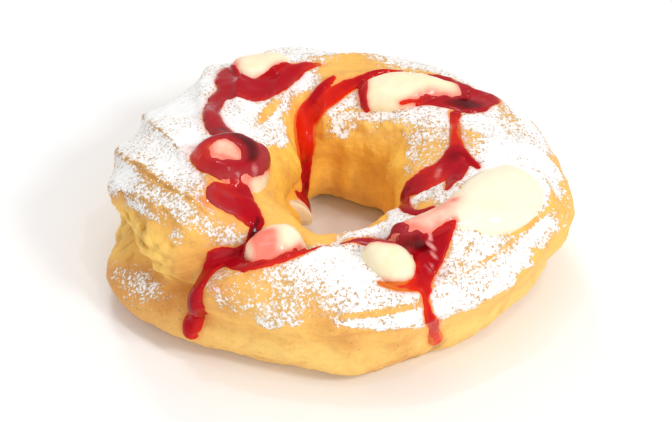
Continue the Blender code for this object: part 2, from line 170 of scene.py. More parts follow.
# Unevenness of the oven: turns of the ring angle and of the section angle, height, phase
WAVES = [
    (3, 1, 0.45 * MM, 0.4),
    (5, 2, 0.35 * MM, 2.1),
    (7, -3, 0.25 * MM, 4.0),
    (11, 4, 0.20 * MM, 1.2),
    (13, -2, 0.20 * MM, 5.1),
]

# Cream: height over the strand, width of the rounded shoulder, share of egg yolk, spines as (ring, section,
# half width in mm)
CREAM = {
    "cream_back": Dollop(4.6 * MM, 6.0 * MM, 0.5, [[(121, 67, 6.2), (112, 75, 6.6)]]),
    "cream_left": Dollop(5.8 * MM, 7.5 * MM, 0.4, [[(200, 104, 7.4), (209, 106, 8.8), (217, 109, 7.6)]]),
    "cream_seam": Dollop(4.0 * MM, 5.2 * MM, 0.4, [[(250, 67, 4.6), (253, 77, 5.4), (256, 86, 4.6)]]),
    "cream_hole": Dollop(2.6 * MM, 3.2 * MM, 0.5, [
        [(124, 196, 2.2), (138, 197, 3.2), (154, 196, 3.2), (170, 190, 2.6)]]),
    "cream_far": Dollop(4.6 * MM, 6.0 * MM, 0.6, [
        [(58, 109, 6.8), (52, 102, 7.8), (46, 92, 6.4), (40, 82, 4.4), (35, 74, 2.6), (31, 68, 1.2)]]),
    "cream_right": Dollop(4.8 * MM, 6.5 * MM, 0.1, [
        [(341, 60, 8.0), (335, 66, 9.4), (329, 70, 8.4)],
        [(329, 70, 8.0), (321, 77, 6.2), (314, 82, 5.0), (307, 86, 4.0), (300, 89, 2.6)]]),
    "cream_front": Dollop(3.6 * MM, 5.0 * MM, 0.55, [[(289, 76, 3.6), (291, 67, 5.0), (292, 59, 4.8)]]),
}

# Cream: how softly its spines join, how far past its edge it goes on, the reach of its flat patch in half
# widths, the slope at which it dives into the crust, how deep its lower side lies, and how uneven its top is
CREAM_BLEND = 1.2 * MM
CREAM_SKIRT = 0.9 * MM
CREAM_PATCH = 1.3
CREAM_DIVE = 1.5
CREAM_DEPTH = 1.5 * MM
CREAM_UNEVENNESS = 0.35 * MM

# Sauce: thickness, how much sugar it has taken up, path as (ring, section, half width in mm, darkness)
SAUCE = {
    "sauce_left": {
        "round_back_cream": Stream(0.8 * MM, 0.35, [
            (127, 54, 1.8, 0.4), (130, 62, 3.2, 0.6), (134, 71, 4.2, 0.6), (136, 82, 4.6, 0.5),
            (132, 92, 4.2, 0.5), (123, 98, 3.6, 0.55), (115, 100, 3.0, 0.5), (106, 94, 2.2, 0.5),
            (98, 88, 1.2, 0.4), (92, 84, 0.6, 0.1)]),
        "under_back_cream": Stream(0.7 * MM, 0.0, [
            (129, 66, 1.2, 0.5), (129, 76, 1.3, 0.6), (126, 86, 1.5, 0.6), (119, 90, 1.5, 0.6),
            (112, 89, 1.3, 0.5), (106, 86, 0.9, 0.4)]),
        "left_neck": Stream(0.7 * MM, 0.9, [
            (139, 80, 3.6, 0.5), (145, 76, 2.2, 0.5), (153, 80, 1.8, 0.5), (161, 85, 1.6, 0.5),
            (167, 89, 2.0, 0.5), (175, 95, 2.4, 0.6), (181, 101, 2.8, 0.9)]),
        "round_left_cream": Stream(0.6 * MM, 0.5, [
            (196, 100, 2.0, 0.8), (197, 93, 2.2, 0.5), (202, 88, 2.0, 0.2), (210, 88, 1.5, 0.3),
            (216, 94, 1.5, 0.5), (220, 101, 1.6, 0.6), (221, 108, 1.9, 0.8), (218, 113, 2.4, 1.0),
            (209, 114, 2.4, 1.0), (199, 108, 2.4, 0.9), (196, 100, 2.2, 0.8)]),
        "left_band": Stream(0.5 * MM, 0.9, [
            (212, 87, 0.7, 0.5), (217, 92, 0.9, 0.5), (222, 101, 0.9, 0.5), (225, 110, 1.0, 0.6),
            (223, 119, 1.3, 0.5), (213, 127, 1.6, 0.7), (204, 124, 1.4, 0.9)]),
        "fall_wash": Stream(0.55 * MM, 0.9, [
            (222, 83, 1.0, 0.3), (226, 83, 2.1, 0.35), (230, 84, 2.5, 0.4), (234, 88, 2.4, 0.45)]),
        "fall_top": Stream(0.6 * MM, 0.2, [
            (223, 87, 1.1, 0.3), (226, 92, 1.6, 0.4), (228, 97, 1.8, 0.5), (231, 102, 1.6, 0.6)]),
        "left_fall": Stream(0.8 * MM, 0.0, [
            (232, 94, 2.2, 0.4), (235, 93, 3.6, 0.5), (239, 92, 3.0, 0.55),
            (242, 91, 1.7, 0.95), (243, 82, 1.4, 1.05), (243, 71, 1.4, 1.0), (241, 61, 1.8, 0.8),
            (237, 52, 2.4, 0.6), (235, 43, 2.5, 0.55), (235, 32, 2.7, 0.6), (235, 22, 2.8, 0.7),
            (235, 12, 2.7, 0.75), (234, 3, 2.3, 0.7)]),
        "left_drip": Stream(0.9 * MM, 0.0, [
            (234, 3, 2.3, 0.6), (233, -3, 2.3, 0.5), (233, -8, 2.9, 0.45), (233, -13, 2.1, 0.4),
            (234, -18, 0.9, 0.4)]),
        "channel": Stream(0.7 * MM, 0.1, [
            (239, 54, 2.3, 0.6), (245, 52, 1.6, 0.6), (250, 54, 1.0, 0.5), (256, 62, 0.8, 0.4),
            (261, 72, 1.2, 0.4), (265, 82, 1.5, 0.5), (269, 91, 1.3, 0.6), (273, 98, 0.7, 0.6)]),
        "channel_top": Stream(0.5 * MM, 0.7, [
            (278, 102, 0.6, 0.6), (283, 104, 1.0, 0.6), (288, 104, 1.2, 0.7), (293, 101, 1.2, 0.8),
            (297, 93, 1.2, 0.8), (300, 85, 1.2, 0.9)]),
    },
    "sauce_back": {
        "back_branch": Stream(0.7 * MM, 0.0, [
            (85, 106, 0.9, 0.35), (90, 114, 1.6, 0.5), (96, 122, 2.2, 0.45), (103, 130, 2.6, 0.2)]),
        "back_run": Stream(0.8 * MM, 0.0, [
            (58, 74, 0.6, 0.5), (63, 82, 1.0, 0.5), (70, 98, 1.5, 0.45), (76, 109, 2.0, 0.35),
            (84, 122, 2.4, 0.25), (94, 130, 2.9, 0.2), (104, 136, 3.7, 0.15), (109, 144, 4.1, 0.1),
            (112, 158, 4.4, 0.15), (113, 170, 3.6, 0.35), (112, 182, 2.4, 0.7), (116, 190, 2.2, 0.9),
            (127, 193, 2.0, 0.8), (140, 188, 1.2, 0.6)]),
        "over_far_cream": Stream(0.3 * MM, 0.3, [
            (59, 127, 0.8, 0.5), (63, 121, 1.3, 0.5), (67, 112, 1.5, 0.4), (70, 102, 1.2, 0.4)]),
    },
    "sauce_right": {
        "round_far_cream": Stream(0.7 * MM, 0.6, [
            (47, 72, 0.8, 0.4), (43, 68, 1.6, 0.5), (38, 66, 2.4, 0.5), (34, 64, 3.2, 0.6),
            (31, 61, 3.8, 0.5), (29, 57, 3.8, 0.5), (28.5, 53, 3.3, 0.5)]),
        "far_mass": Stream(0.8 * MM, 0.35, [
            (29, 60, 3.2, 0.6), (26, 67, 3.6, 0.8), (26, 75, 3.8, 1.0), (28, 82, 3.4, 0.9),
            (31, 89, 2.6, 0.7), (34, 95, 1.6, 0.5), (37, 100, 0.8, 0.5)]),
        "far_streak": Stream(0.4 * MM, 0.0, [
            (34, 97, 0.5, 0.4), (38, 105, 0.45, 0.4), (42, 114, 0.3, 0.3)]),
        "right_run": Stream(0.7 * MM, 0.3, [
            (382, 92, 1.6, 0.5), (379, 96, 1.3, 0.3), (371, 101, 1.3, 0.0), (366, 104, 1.5, 0.1),
            (361, 105, 2.1, 0.3), (356, 107, 2.9, 0.8), (351, 111, 3.2, 0.7), (346, 116, 3.8, 0.4),
            (342, 122, 4.0, 0.3), (338, 131, 3.2, 0.5), (335, 140, 2.2, 0.8), (331, 144, 1.7, 0.9),
            (322, 136, 1.4, 0.85), (315, 120, 1.2, 0.85), (314, 107, 1.1, 0.9), (318, 99, 1.0, 0.8)]),
        "right_edge": Stream(0.6 * MM, 0.0, [
            (357, 106, 1.6, 0.8), (354, 97, 1.2, 0.9), (351, 91, 0.9, 0.8), (349, 87, 0.5, 0.6)]),
        # Painted shade: a dark sheet of sauce laid where the shade falls between the right-hand loop and the
        # cream
        "right_shade_sheet": Stream(0.5 * MM, 0.2, [
            (331, 101, 0.9, 0.8), (337, 103, 1.8, 0.75), (343, 104, 2.2, 0.7), (349, 101, 1.8, 0.7)]),
    },
    "sauce_front": {
        "over_front_cream": Stream(0.4 * MM, 0.8, [
            (288, 83, 0.7, 0.5), (291, 82, 1.2, 0.6), (295, 80, 1.6, 0.8), (299, 79, 1.8, 0.9),
            (302, 76, 1.6, 1.0)]),
        "front_pool": Stream(0.9 * MM, 0.0, [
            (301, 77, 1.0, 1.0), (303, 73, 2.2, 1.0), (304, 67, 2.9, 0.85), (303, 60, 3.0, 0.6),
            (301, 53, 2.9, 0.5), (298, 46, 2.4, 0.4), (297, 40, 1.4, 0.35)]),
        "pool_arm": Stream(0.7 * MM, 0.0, [
            (315, 72, 0.6, 0.45), (312, 71, 1.4, 0.5), (308, 67, 2.2, 0.55), (303, 58, 2.4, 0.5)]),
        "pool_left": Stream(0.5 * MM, 0.0, [
            (286, 50, 0.5, -0.5), (289, 46, 0.9, -0.3), (292, 44, 1.2, 0.1),
            (296, 43, 1.5, 0.35)]),
        "front_drip": Stream(0.7 * MM, 0.0, [
            (297, 40, 1.3, 0.3), (296, 34, 0.9, 0.3), (296, 28, 1.0, 0.3), (296, 20, 1.4, 0.35),
            (298, 10, 1.4, 0.35), (299, -2, 1.5, 0.25), (300, -10, 1.8, 0.0), (301, -18, 2.0, -0.1)]),
    },
}

# Streaks of cream in the sauce
MILKY_SPOTS = spots(
    (0.9, 0.45, 2.2, 307, 75),
    (0.9, 0.45, 2.2, 305.5, 67),
    (0.7, 0.45, 2.2, 304, 59),
    (0.5, 0.45, 2.2, 302, 52),
    (0.5, 5.0, 1.8, 344, 118),
    (0.4, 4.0, 1.2, 204, 86),
    (0.3, 5.0, 2.0, 28, 58),
    (0.35, 3.0, 3.0, 301, -16),
    (0.5, 3.0, 1.5, 225, 112),
)

# Where the sauce fills the seam
SAUCE_FILL = Lump(2.8 * MM, 5.0 * MM, 9.0 * MM, (233, 9))
SAUCE_FILL_EDGE = 2.4 * MM

# Sauce: how softly its streams join, the width of its rounded edge, how far past its edge it and its patch go
# on, its slope there, how deep its lower side lies, and how softly it follows crust and cream
STREAM_BLEND = 0.45 * MM
SAUCE_EDGE = 1.3 * MM
SAUCE_SKIRT = 1.1 * MM
SAUCE_PATCH = 5.0 * MM
SAUCE_DIVE = 1.3
SAUCE_DEPTH = 0.8 * MM
BED_SOFTNESS = 1.0 * MM

# Sauce near its edge: the sugary rim, the thin margin, and how far it soaks into cream and crust
RIM_WIDTH = 2.2 * MM
MARGIN_WIDTH = 1.0 * MM
CREAM_SOAK = 1.0 * MM
CRUST_SOAK = 0.6 * MM
SOAK_STRENGTH = 0.8

# The rim is paler and holds the sugar, and the margin is paler still, above all on thin sauce
RIM_PALER = 0.3
SUGARY_INSIDE = 0.25
MARGIN_PALER = 0.1
THIN_MARGIN_PALER = 0.5
THIN_BELOW = 0.4

# The crust beside and under sauce: free of sugar this near to it, and pressed in below it
OPEN_AIR_FADE = Fade(0.08 * MM, -0.4 * MM)
SAUCE_SINK = 0.3 * MM

# Powdered sugar lies between two section angles, with a station every 15 degrees of the ring angle
SUGAR_LOW = np.array([
    36, 29, 27, 30, 33, 35, 30, 32, 30, 30, 28, 24, 26, 35, 43, 50, 26, 15, 21, 18, 14, 16, 28, 35], float)
SUGAR_HIGH = np.array([
    142, 136, 132, 138, 144, 150, 130, 120, 124, 141, 141, 137, 132, 120, 95, 84, 82, 100, 122, 128, 124,
    140, 134, 138], float)

# Places with less sugar, outlying places with some, and places with more
BARE_SPOTS = spots(
    (1.1, 9.0, 8.0, 77, 82),
    (0.7, 4.5, 5.0, 86, 103),
    (0.25, 5.0, 7.0, 271, 42),
    (0.3, 16.0, 5.0, 196, 58),
    (0.8, 3.0, 4.2, 230, 50),
    (0.8, 9.0, 2.6, 49, 66),
    (0.45, 9.0, 2.6, 18, 50),
    (0.4, 7.0, 1.2, 8, 60),
    (1.1, 13.0, 1.3, 137, 115),
    (0.8, 4.0, 2.5, 102, 117),
    (1.0, 8.0, 0.9, 286, 30),
    (0.55, 9.0, 8.0, 250, 38),
    (0.7, 2.4, 5.0, 268, 22),
    (1.1, 8.0, 4.0, 267, 113),
    (1.0, 3.5, 4.5, 318, 110),
    (0.9, 7.0, 2.8, 231, 79),
    (0.55, 12.0, 1.2, 324, 39),
    (0.6, 7.0, 3.0, 364, 90),
    (0.5, 14.0, 8.0, 360, 126),
    (0.5, 18.0, 3.0, 45, 138),
    (0.4, 4.0, 5.0, 284, 78),
    (0.1, 14.0, 4.5, 212, 50),
)
DUSTED_SPOTS = spots(
    (0.45, 20.0, 6.0, 352, 27),
    (0.5, 14.0, 3.0, 30, 138),
    (0.45, 9.0, 2.2, 50, 144),
    (0.3, 14.0, 4.0, 202, 40),
    (0.55, 12.0, 3.4, 204, -5),
    (0.45, 4.0, 3.0, 216, -3),
    (0.7, 6.0, 3.2, 83, 146),
    (0.6, 3.5, 2.4, 102, 99),
    (0.5, 3.5, 2.6, 118, 122),
)
HEAVY_SPOTS = spots(
    (0.3, 12.0, 5.0, 192, 74),
    (0.5, 22.0, 12.0, 156, 72),
    (0.3, 14.0, 9.0, 358, 68),
    (0.4, 7.0, 8.0, 276, 75),
    (0.4, 8.0, 5.0, 305, 125),
    (0.5, 9.0, 2.6, 287, 24),
)

# Crust stained by thin sauce, and crust baked deeper than the rest; some deeper spots are painted shade, in
# the front fold and on the left-hand side away from the light
SOAKED_SPOTS = spots(
    (1.4, 5.0, 3.0, 227, 81),
    (0.5, 3.0, 3.0, 240, 38),
    (0.5, 5.0, 2.0, 366, 100),
    (0.9, 4.0, 9.0, 116, 160),
    (0.5, 4.0, 5.0, 103, 132),
    (0.5, 4.0, 3.0, 76, 108),
    (0.5, 3.0, 3.0, 196, 88),
)
BAKED_SPOTS = spots(
    # Painted shade in the front fold
    (1.2, 2.6, 4.5, 270, 30),
    (1.2, 2.6, 5.0, 275, 8),
    (0.15, 9.0, 5.0, 284, -8),
    (0.6, 6.0, 6.0, 242, 34),
    # Partly painted shade on the left-hand side, away from the light, and partly crust baked browner
    (1.0, 14.0, 9.0, 206, 34),
    (1.4, 18.0, 10.0, 208, -18),
    (0.25, 7.0, 9.0, 286, -14),
    (0.8, 6.0, 7.0, 320, 126),
    (0.5, 16.0, 5.0, 20, 128),
    (0.5, 8.0, 8.0, 72, 78),
    (0.9, 18.0, 3.5, 52, 142),
    (0.5, 8.0, 3.0, 296, -27),
)

# Edges baked brown where the ring sat on the tray
CARAMEL_SPOTS = spots(
    (1.0, 9.0, 1.6, 290, -37),
    (0.7, 3.0, 3.0, 302, -27),
    (0.5, 9.0, 1.6, 250, -34),
)

# Sauce that has soaked into the cream
CREAM_STAINS = spots(
    (1.5, 3.0, 4.0, 251, 71),
    (0.8, 5.5, 3.2, 219, 93),
    (0.55, 9.0, 4.0, 307, 84),
    (0.4, 6.0, 3.0, 321, 88),
    (0.4, 1.0, 1.0, 323, 86),
    (0.25, 3.0, 6.0, 226, 92),
    (0.32, 6.0, 4.0, 208, 99),
    (0.7, 4.0, 4.0, 34, 96),
    (0.4, 5.0, 3.0, 124, 60),
    (0.5, 9.0, 2.0, 136, 184),
)

# Where a bare rim shows beside the right-hand cream, how far from it and how wide
CREAM_RIM = Spot(1.0, 9.0 * MM, 7.0 * MM, (337, 42))
CREAM_RIM_AWAY = 0.4 * MM
CREAM_RIM_WIDTH = 0.5 * MM

# Edge of the sugar in degrees, with its longer fade low on the left lobe
SUGAR_FADE = 13.0
SUGAR_WANDER = 9.0
SUGAR_AT_LOW_EDGE = 0.6
SUGAR_AT_HIGH_EDGE = 0.5
LONG_FADE = Band(205, 28)
LONG_FADE_EXTRA = 0.4
FULL_COVER = 1.5

# Sugar that doesn't stay on a crest line, in the band below it and on torn crumb
SUGAR_OFF_LIP = 0.9
SUGAR_OFF_BAND = 0.15
SUGAR_OFF_CRUMB = 0.6

# Crust colours by section angle: the fold between the rounds, darkened as painted shade, the sole, the
# underside, and the low and the inner wall, whose richer orange is painted light, the warm light bounced
# round the inside of the ring
FOLD_BAND = Band(-3, 8)
SOLE_FADE = Fade(-24, -16)
UNDERSIDE_FADE = Fade(-120, 20)
LOW_FADE = Fade(25, -45)
INNER_FADE = Fade(105, 45)

# Ring angles where the front is paler, with less of the painted shade in the fold and less toasting on the
# sole
PALE_FRONT = Band(285, 45)
PALE_FRONT_SHARE = 0.7

# Distance from the line of the burst, and from the ragged ridge, at which the crumb no longer shows
BURST_FADE = Fade(8.74 * MM, -4.6 * MM)
RIDGE_FADE = Fade(2.52 * MM, -1.8 * MM)
RIDGE_SHARE = 0.6
TORN_END_FADE = 0.1

# The scorched line on a crest, and the steep band below it, which is bare of sugar and darkened as painted
# shade
LIP_WIDTH = 0.55 * MM
LIP_SHARE = 0.8
BAND_AWAY = 0.9 * MM
BAND_WIDTH = 0.9 * MM
BAND_SHADE = 0.7

# Faces of the crust: how far they are drawn together towards the crown of the strand, and how near two
# vertices are made one
SECTION_BIAS = 0.45
WELD = 0.0001 * MM

# Unevenness: size of a feature, octaves, and an offset that keeps the patterns apart
CRUMB_GRAIN = Grain(2.2 * MM, 4, 0.0)
CRAG_GRAIN = Grain(4.5 * MM, 5, 3.0)
POWDER_GRAIN = Grain(1.2 * MM, 2, 5.0)
FOLD_GRAIN = Grain(7.0 * MM, 4, 7.0)
LIP_GRAIN = Grain(4.0 * MM, 4, 13.0)
CREAM_GRAIN = Grain(5.0 * MM, 2, 17.0)
SCALLOP_GRAIN = Grain(2.4 * MM, 3, 23.0)
POUR_GRAIN = Grain(5.0 * MM, 2, 29.0)
SUGAR_EDGE_GRAIN = Grain(5.0 * MM, 4, 31.0)
SOAK_GRAIN = Grain(3.0 * MM, 4, 37.0)
CRAG_HEIGHT = 1.4
CRAG_SQUEEZE = (1, 1, 1.6)
POWDER_LUMPINESS = 0.7
POUR_UNEVENNESS = 0.25
SOAK_MIDDLE = 0.7
SOAK_SWING = 1.2
SOAK_MOST = 1.4

# Loose clumps: the draw, how many are built at a time, places tried for each, where they may lie, their
# shapes, and room from the toppings
SEED = 20
CLUMP_BATCH = 100
CLUMP_TRIES = 8
CLUMP_SECTIONS = (5, 150)
CLUMP_COVER = 0.3
CLUMP_WIDTHS = (0.6, 1.0)
CLUMP_HEIGHTS = (0.5, 0.9)
CLEAR_OF_SAUCE = 0.5 * MM
CLEAR_OF_CREAM = 0.2 * MM

# Textures of the materials: size of a feature, detail, roughness and, where it isn't even, the stretch
BLOTCHES = Texture(9.0 * MM, 3.0)
MOTTLING = Texture(3.4 * MM, 3.0, 0.6)
FRECKLES = Texture(0.9 * MM, 2.0)
CRUST_GRAIN = Texture(1.1 * MM, 3.0, 0.6)
SCRATCHES = Texture(2.2 * MM, 5.0, 0.65, (0.8, 0.8, 1.8))
POWDER_FLAKES = Texture(1.5 * MM, 6.0, 0.72)
POWDER_FINE = Texture(0.75 * MM, 4.0, 0.6)
POWDER_PATCHES = Texture(4.5 * MM, 2.0)
POWDER_PITS = Texture(0.6 * MM, 3.0, 0.6)
SAUCE_STREAKS = Texture(2.2 * MM, 2.0)
SAUCE_SWIRLS = Texture(1.4 * MM, 3.0)
CREAM_STREAKS = Texture(3.5 * MM, 2.0)
CLUMP_TINT = Texture(0.6 * MM, 2.0)
FLOOR_CLOUD = Texture(200.0 * MM, 1.0)

# Finishes
CRUST_ROUGHNESS = 0.58
POWDER_ROUGHER = 0.3
CRUST_BUMP = 0.25 * MM
SAUCE_ROUGHNESS = 0.09
SUGARY_ROUGHER = 0.18
SAUCE_SPECULAR = 0.14
CREAM_ROUGHNESS = 0.34
CREAM_COAT = 0.15
CREAM_BUMP = 0.2 * MM
CREAM_DEPTH_OF_LIGHT = {
    "Subsurface Weight": 0.12,
    "Subsurface Radius": (0.004, 0.002, 0.001),
    "Subsurface Scale": 0.5,
}
CLUMP_ROUGHNESS = 0.9
FLOOR_ROUGHNESS = 0.8

# Studio: lamps that all point at the middle of the pastry, and a white surrounding
LAMPS = {
    "key": Lamp((0.50, -0.40, 0.60), 0.16, 2.3),
    "overhead": Lamp((0.02, 0.06, 0.90), 0.30, 0.65),
    "fill": Lamp((0.15, -0.80, 0.32), 0.60, 1.6),
    "back": Lamp((-0.15, 0.60, 0.60), 0.14, 1.2),
    "glint": Lamp((-0.10, 0.10, 0.80), 0.02, 0.35),
    "spark": Lamp((0.22, -0.20, 0.80), 0.02, 0.35),
}
SURROUNDING = 0.60
FLOOR_HALF_SIZE = 3.0
FLOOR_SHADE = 0.98
SENSOR_WIDTH = 36.0
FOCAL_LENGTH = 99.3
TARGET = (-0.7 * MM, -2.0 * MM, 14.0 * MM)


def length_property(name, description, default):
    return FloatProperty(name=name, description=description, default=default, unit="LENGTH")


def colour_property(name, description, default):
    return FloatVectorProperty(name=name, description=description, default=default, subtype="COLOR")


class ZeppolaCrust(bpy.types.PropertyGroup):
    ring_segments: IntProperty(name="Ring segments", description="Faces round the hole", default=480)
    strand_segments: IntProperty(name="Strand segments", description="Faces round the strand", default=200)
    crumb: length_property("Crumb", "Height of the fine unevenness", 0.20 * MM)
    folds: length_property("Folds", "Height of the soft folds", 0.45 * MM)
    torn: length_property("Torn crumb", "Height of the crags in the burst", 1.5 * MM)
    # Painted shade: how dark the fold between the rounds is made
    fold: FloatProperty(name="Fold", description="How far the fold round the ring is baked", default=0.6)
    sole: FloatProperty(name="Sole", description="How far the sole of the ring is baked", default=0.9)
    golden: colour_property("Golden", "Crust on the sides", (0.96, 0.53, 0.11))
    pale: colour_property("Pale", "Lightly baked crust low on the sides", (0.98, 0.63, 0.17))
    # Painted light: the warm light bounced round the inside of the ring, kept bright where the lamps hardly
    # reach
    inner_bounce_light: colour_property("Amber", "Crust on the inner wall", (1.0, 0.55, 0.07))
    toasted: colour_property("Toasted", "Patches baked deeper", (0.74, 0.33, 0.065))
    brown: colour_property("Brown", "Well baked crest lines", (0.42, 0.20, 0.05))
    crumb_colour: colour_property("Crumb colour", "Torn inside of the crust", (1.0, 0.62, 0.14))
    # Painted shade in the hollows of the torn crumb
    crumb_shadow: colour_property("Crumb shadow", "Hollows of the torn inside", (0.70, 0.36, 0.05))
    soaked: colour_property("Soaked", "Crust with thin sauce in it", (0.80, 0.12, 0.02))


class ZeppolaSugar(bpy.types.PropertyGroup):
    colour: colour_property("Sugar", "Powdered sugar", (0.95, 0.945, 0.93))
    bright: colour_property("Bright", "Lightest clumps", (0.99, 0.985, 0.975))
    soaked: colour_property("Soaked", "Powder with sauce in it", (0.80, 0.28, 0.26))
    # Painted shade on the crust in the gaps of thick powder
    shadow: colour_property("Shadow", "Crust in the gaps of the powder", (0.46, 0.27, 0.12))
    depth: length_property("Depth", "Thickness of the powder", 0.22 * MM)
    clumps: IntProperty(name="Clumps", description="Number of loose clumps", default=3600)
    smallest: length_property("Smallest clump", "Radius of the smallest clumps", 0.10 * MM)
    largest: length_property("Largest clump", "Radius of the largest clumps", 0.34 * MM)


class ZeppolaSauce(bpy.types.PropertyGroup):
    spacing: length_property("Spacing", "Size of a face of the sauce", 0.32 * MM)
    waviness: length_property("Waviness", "Scallops along the edge", 0.40 * MM)
    thin: colour_property("Thin", "A mere film over crust", (0.72, 0.16, 0.02))
    milky: colour_property("Milky", "Sauce streaked with cream", (0.86, 0.34, 0.32))
    bright: colour_property("Bright", "Thin sauce over crust", (0.72, 0.020, 0.003))
    crimson: colour_property("Crimson", "Sauce of ordinary depth", (0.42, 0.001, 0.008))
    dark: colour_property("Dark", "Deepest sauce", (0.07, 0.001, 0.002))
    sugary: colour_property("Sugary", "Sauce that has taken up sugar", (0.36, 0.036, 0.042))


class ZeppolaCream(bpy.types.PropertyGroup):
    spacing: length_property("Spacing", "Size of a face of the cream", 0.40 * MM)
    colour: colour_property("Cream", "Custard cream", (0.95, 0.87, 0.66))
    custard: colour_property("Custard", "Cream with more egg yolk", (0.97, 0.76, 0.40))
    stain: colour_property("Stain", "Cream with sauce soaked into it", (0.93, 0.21, 0.14))


class ZeppolaStage(bpy.types.PropertyGroup):
    elevation: FloatProperty(
        name="Elevation", description="Height of the camera over the table", default=math.radians(40),
        subtype="ANGLE")
    distance: length_property("Distance", "Camera to pastry", 480 * MM)
    floor_colour: colour_property("Floor", "Table top", (0.96, 0.96, 0.96))


def round_the_ring(stations, angle):
    """Value at each ring angle, on a smooth closed curve through evenly spaced stations."""
    place = (angle % 360) / (360 / len(stations))
    index = np.floor(place).astype(int)
    share = place - index
    before, start, end, after = (stations[(index + step) % len(stations)] for step in (-1, 0, 1, 2))
    return curve_through(before, start, end, after, share)


def curve_through(before, start, end, after, share):
    """Catmull-Rom curve between start and end."""
    slope = end - before
    bend = 2 * before - 5 * start + 4 * end - after
    twist = -before + 3 * start - 3 * end + after
    return start + 0.5 * share * (slope + share * (bend + share * twist))


def smooth_path(points):
    """The points of a path with others between them on a smooth curve."""
    path = np.array(points, dtype=float)
    ends = np.vstack([2 * path[0] - path[1], path, 2 * path[-1] - path[-2]])
    shares = np.arange(PATH_STEPS)[:, None] / PATH_STEPS
    spans = [curve_through(*ends[index:index + 4], shares) for index in range(len(path) - 1)]
    return np.vstack(spans + [path[-1:]])


def turned(angle, middle):
    """The angle as the one nearest to middle."""
    return (angle - middle + 180) % 360 - 180 + middle


def along_path(ring, section, path):
    """Distance to each span of a path, the side of it, the share of its length, and its index and share."""
    ring_reach = RING_RADIUS + STRAND_RADIUS * np.cos(np.radians(section))
    ring = turned(ring, path[:, 0].mean())
    section = turned(section, path[:, 1].mean())
    lengths = np.hypot(*(np.radians(np.diff(path[:, :2], axis=0)) * [RING_RADIUS, STRAND_RADIUS]).T)
    run = np.concatenate([[0], np.cumsum(lengths)]) / lengths.sum()
    for index, (start, end) in enumerate(zip(path[:-1], path[1:])):
        step_x = np.radians(end[0] - start[0]) * ring_reach
        step_y = np.radians(end[1] - start[1]) * STRAND_RADIUS
        to_x = np.radians(ring - start[0]) * ring_reach
        to_y = np.radians(section - start[1]) * STRAND_RADIUS
        share = np.clip((to_x * step_x + to_y * step_y) / (step_x**2 + step_y**2), 0, 1)
        distance = np.hypot(to_x - share * step_x, to_y - share * step_y)
        side = step_x * to_y - step_y * to_x
        yield distance, side, run[index] + share * (run[index + 1] - run[index]), index, share


def nearest_on_path(ring, section, points):
    """Distance to a path, the side of it and the share of its length, at its nearest span."""
    best = np.full(ring.shape, np.inf)
    side = np.zeros(ring.shape)
    share = np.zeros(ring.shape)
    for distance, span_side, span_share, _, _ in along_path(ring, section, smooth_path(points)):
        nearer = distance < best
        best = np.where(nearer, distance, best)
        side = np.where(nearer, span_side, side)
        share = np.where(nearer, span_share, share)
    return best, side, share


def ease(value):
    value = np.clip(value, 0, 1)
    return value * value * (3 - 2 * value)


def faded(value, fade):
    """0 at the start of a fade, 1 past its reach."""
    return ease((value - fade.start) / fade.reach)


def faded_ends(share, fade):
    """1 along a path and 0 at both ends of it."""
    return ease(np.minimum(share, 1 - share) / fade)


def bell(value):
    """1 at 0, fading on both sides of it."""
    return np.exp(-value**2)


def in_band(angle, band):
    """Bell that is 1 in the middle of a band of angles."""
    return bell((turned(angle, band.middle) - band.middle) / band.reach)


def from_spot(ring, section, spot):
    """Bell that is 1 at the middle of a spot and fades over its half length and half width."""
    round_ring = np.radians(turned(ring - spot.place[0], 0)) * RING_RADIUS / spot.half_length
    round_strand = np.radians(turned(section - spot.place[1], 0)) * STRAND_RADIUS / spot.half_width
    return np.exp(-round_ring**2 - round_strand**2)


def from_spots(ring, section, chosen):
    return sum(spot.amount * from_spot(ring, section, spot) for spot in chosen)


def relief(ring, section):
    """Height of the crests, hollows and swellings over the two plain rounds."""
    height = np.zeros(ring.shape)
    for crest in CRESTS.values():
        distance, side, share = nearest_on_path(ring, section, crest.path)
        reach = np.where(side > 0, crest.above, crest.below)
        ends = faded_ends(share, CREST_FADE)
        away = np.hypot(distance, LIP_ROUNDING) - LIP_ROUNDING
        height += crest.height * ends * np.exp(-away / reach)
    for groove in GROOVES.values():
        distance, _, share = nearest_on_path(ring, section, groove.path)
        ends = faded_ends(share, GROOVE_FADE)
        height -= groove.depth * ends * bell(distance / groove.half_width)
    for lump in LUMPS.values():
        height += lump.height * from_spot(ring, section, lump)
    for ring_turns, strand_turns, swing, phase in WAVES:
        height += swing * np.sin(np.radians(ring_turns * ring + strand_turns * section) + phase)
    return height


def reach_of_round(across, up, mid_x, mid_z, half_x, half_z):
    """Distance to an ellipse along a direction, from a point inside it."""
    square = (across / half_x)**2 + (up / half_z)**2
    lean = across * mid_x / half_x**2 + up * mid_z / half_z**2
    rest = (mid_x / half_x)**2 + (mid_z / half_z)**2 - 1
    return (lean + np.sqrt(np.maximum(lean**2 - square * rest, 0))) / square


def soft_maximum(first, second, softness):
    share = np.clip(0.5 + 0.5 * (first - second) / softness, 0, 1)
    return second * (1 - share) + first * share + softness * share * (1 - share)


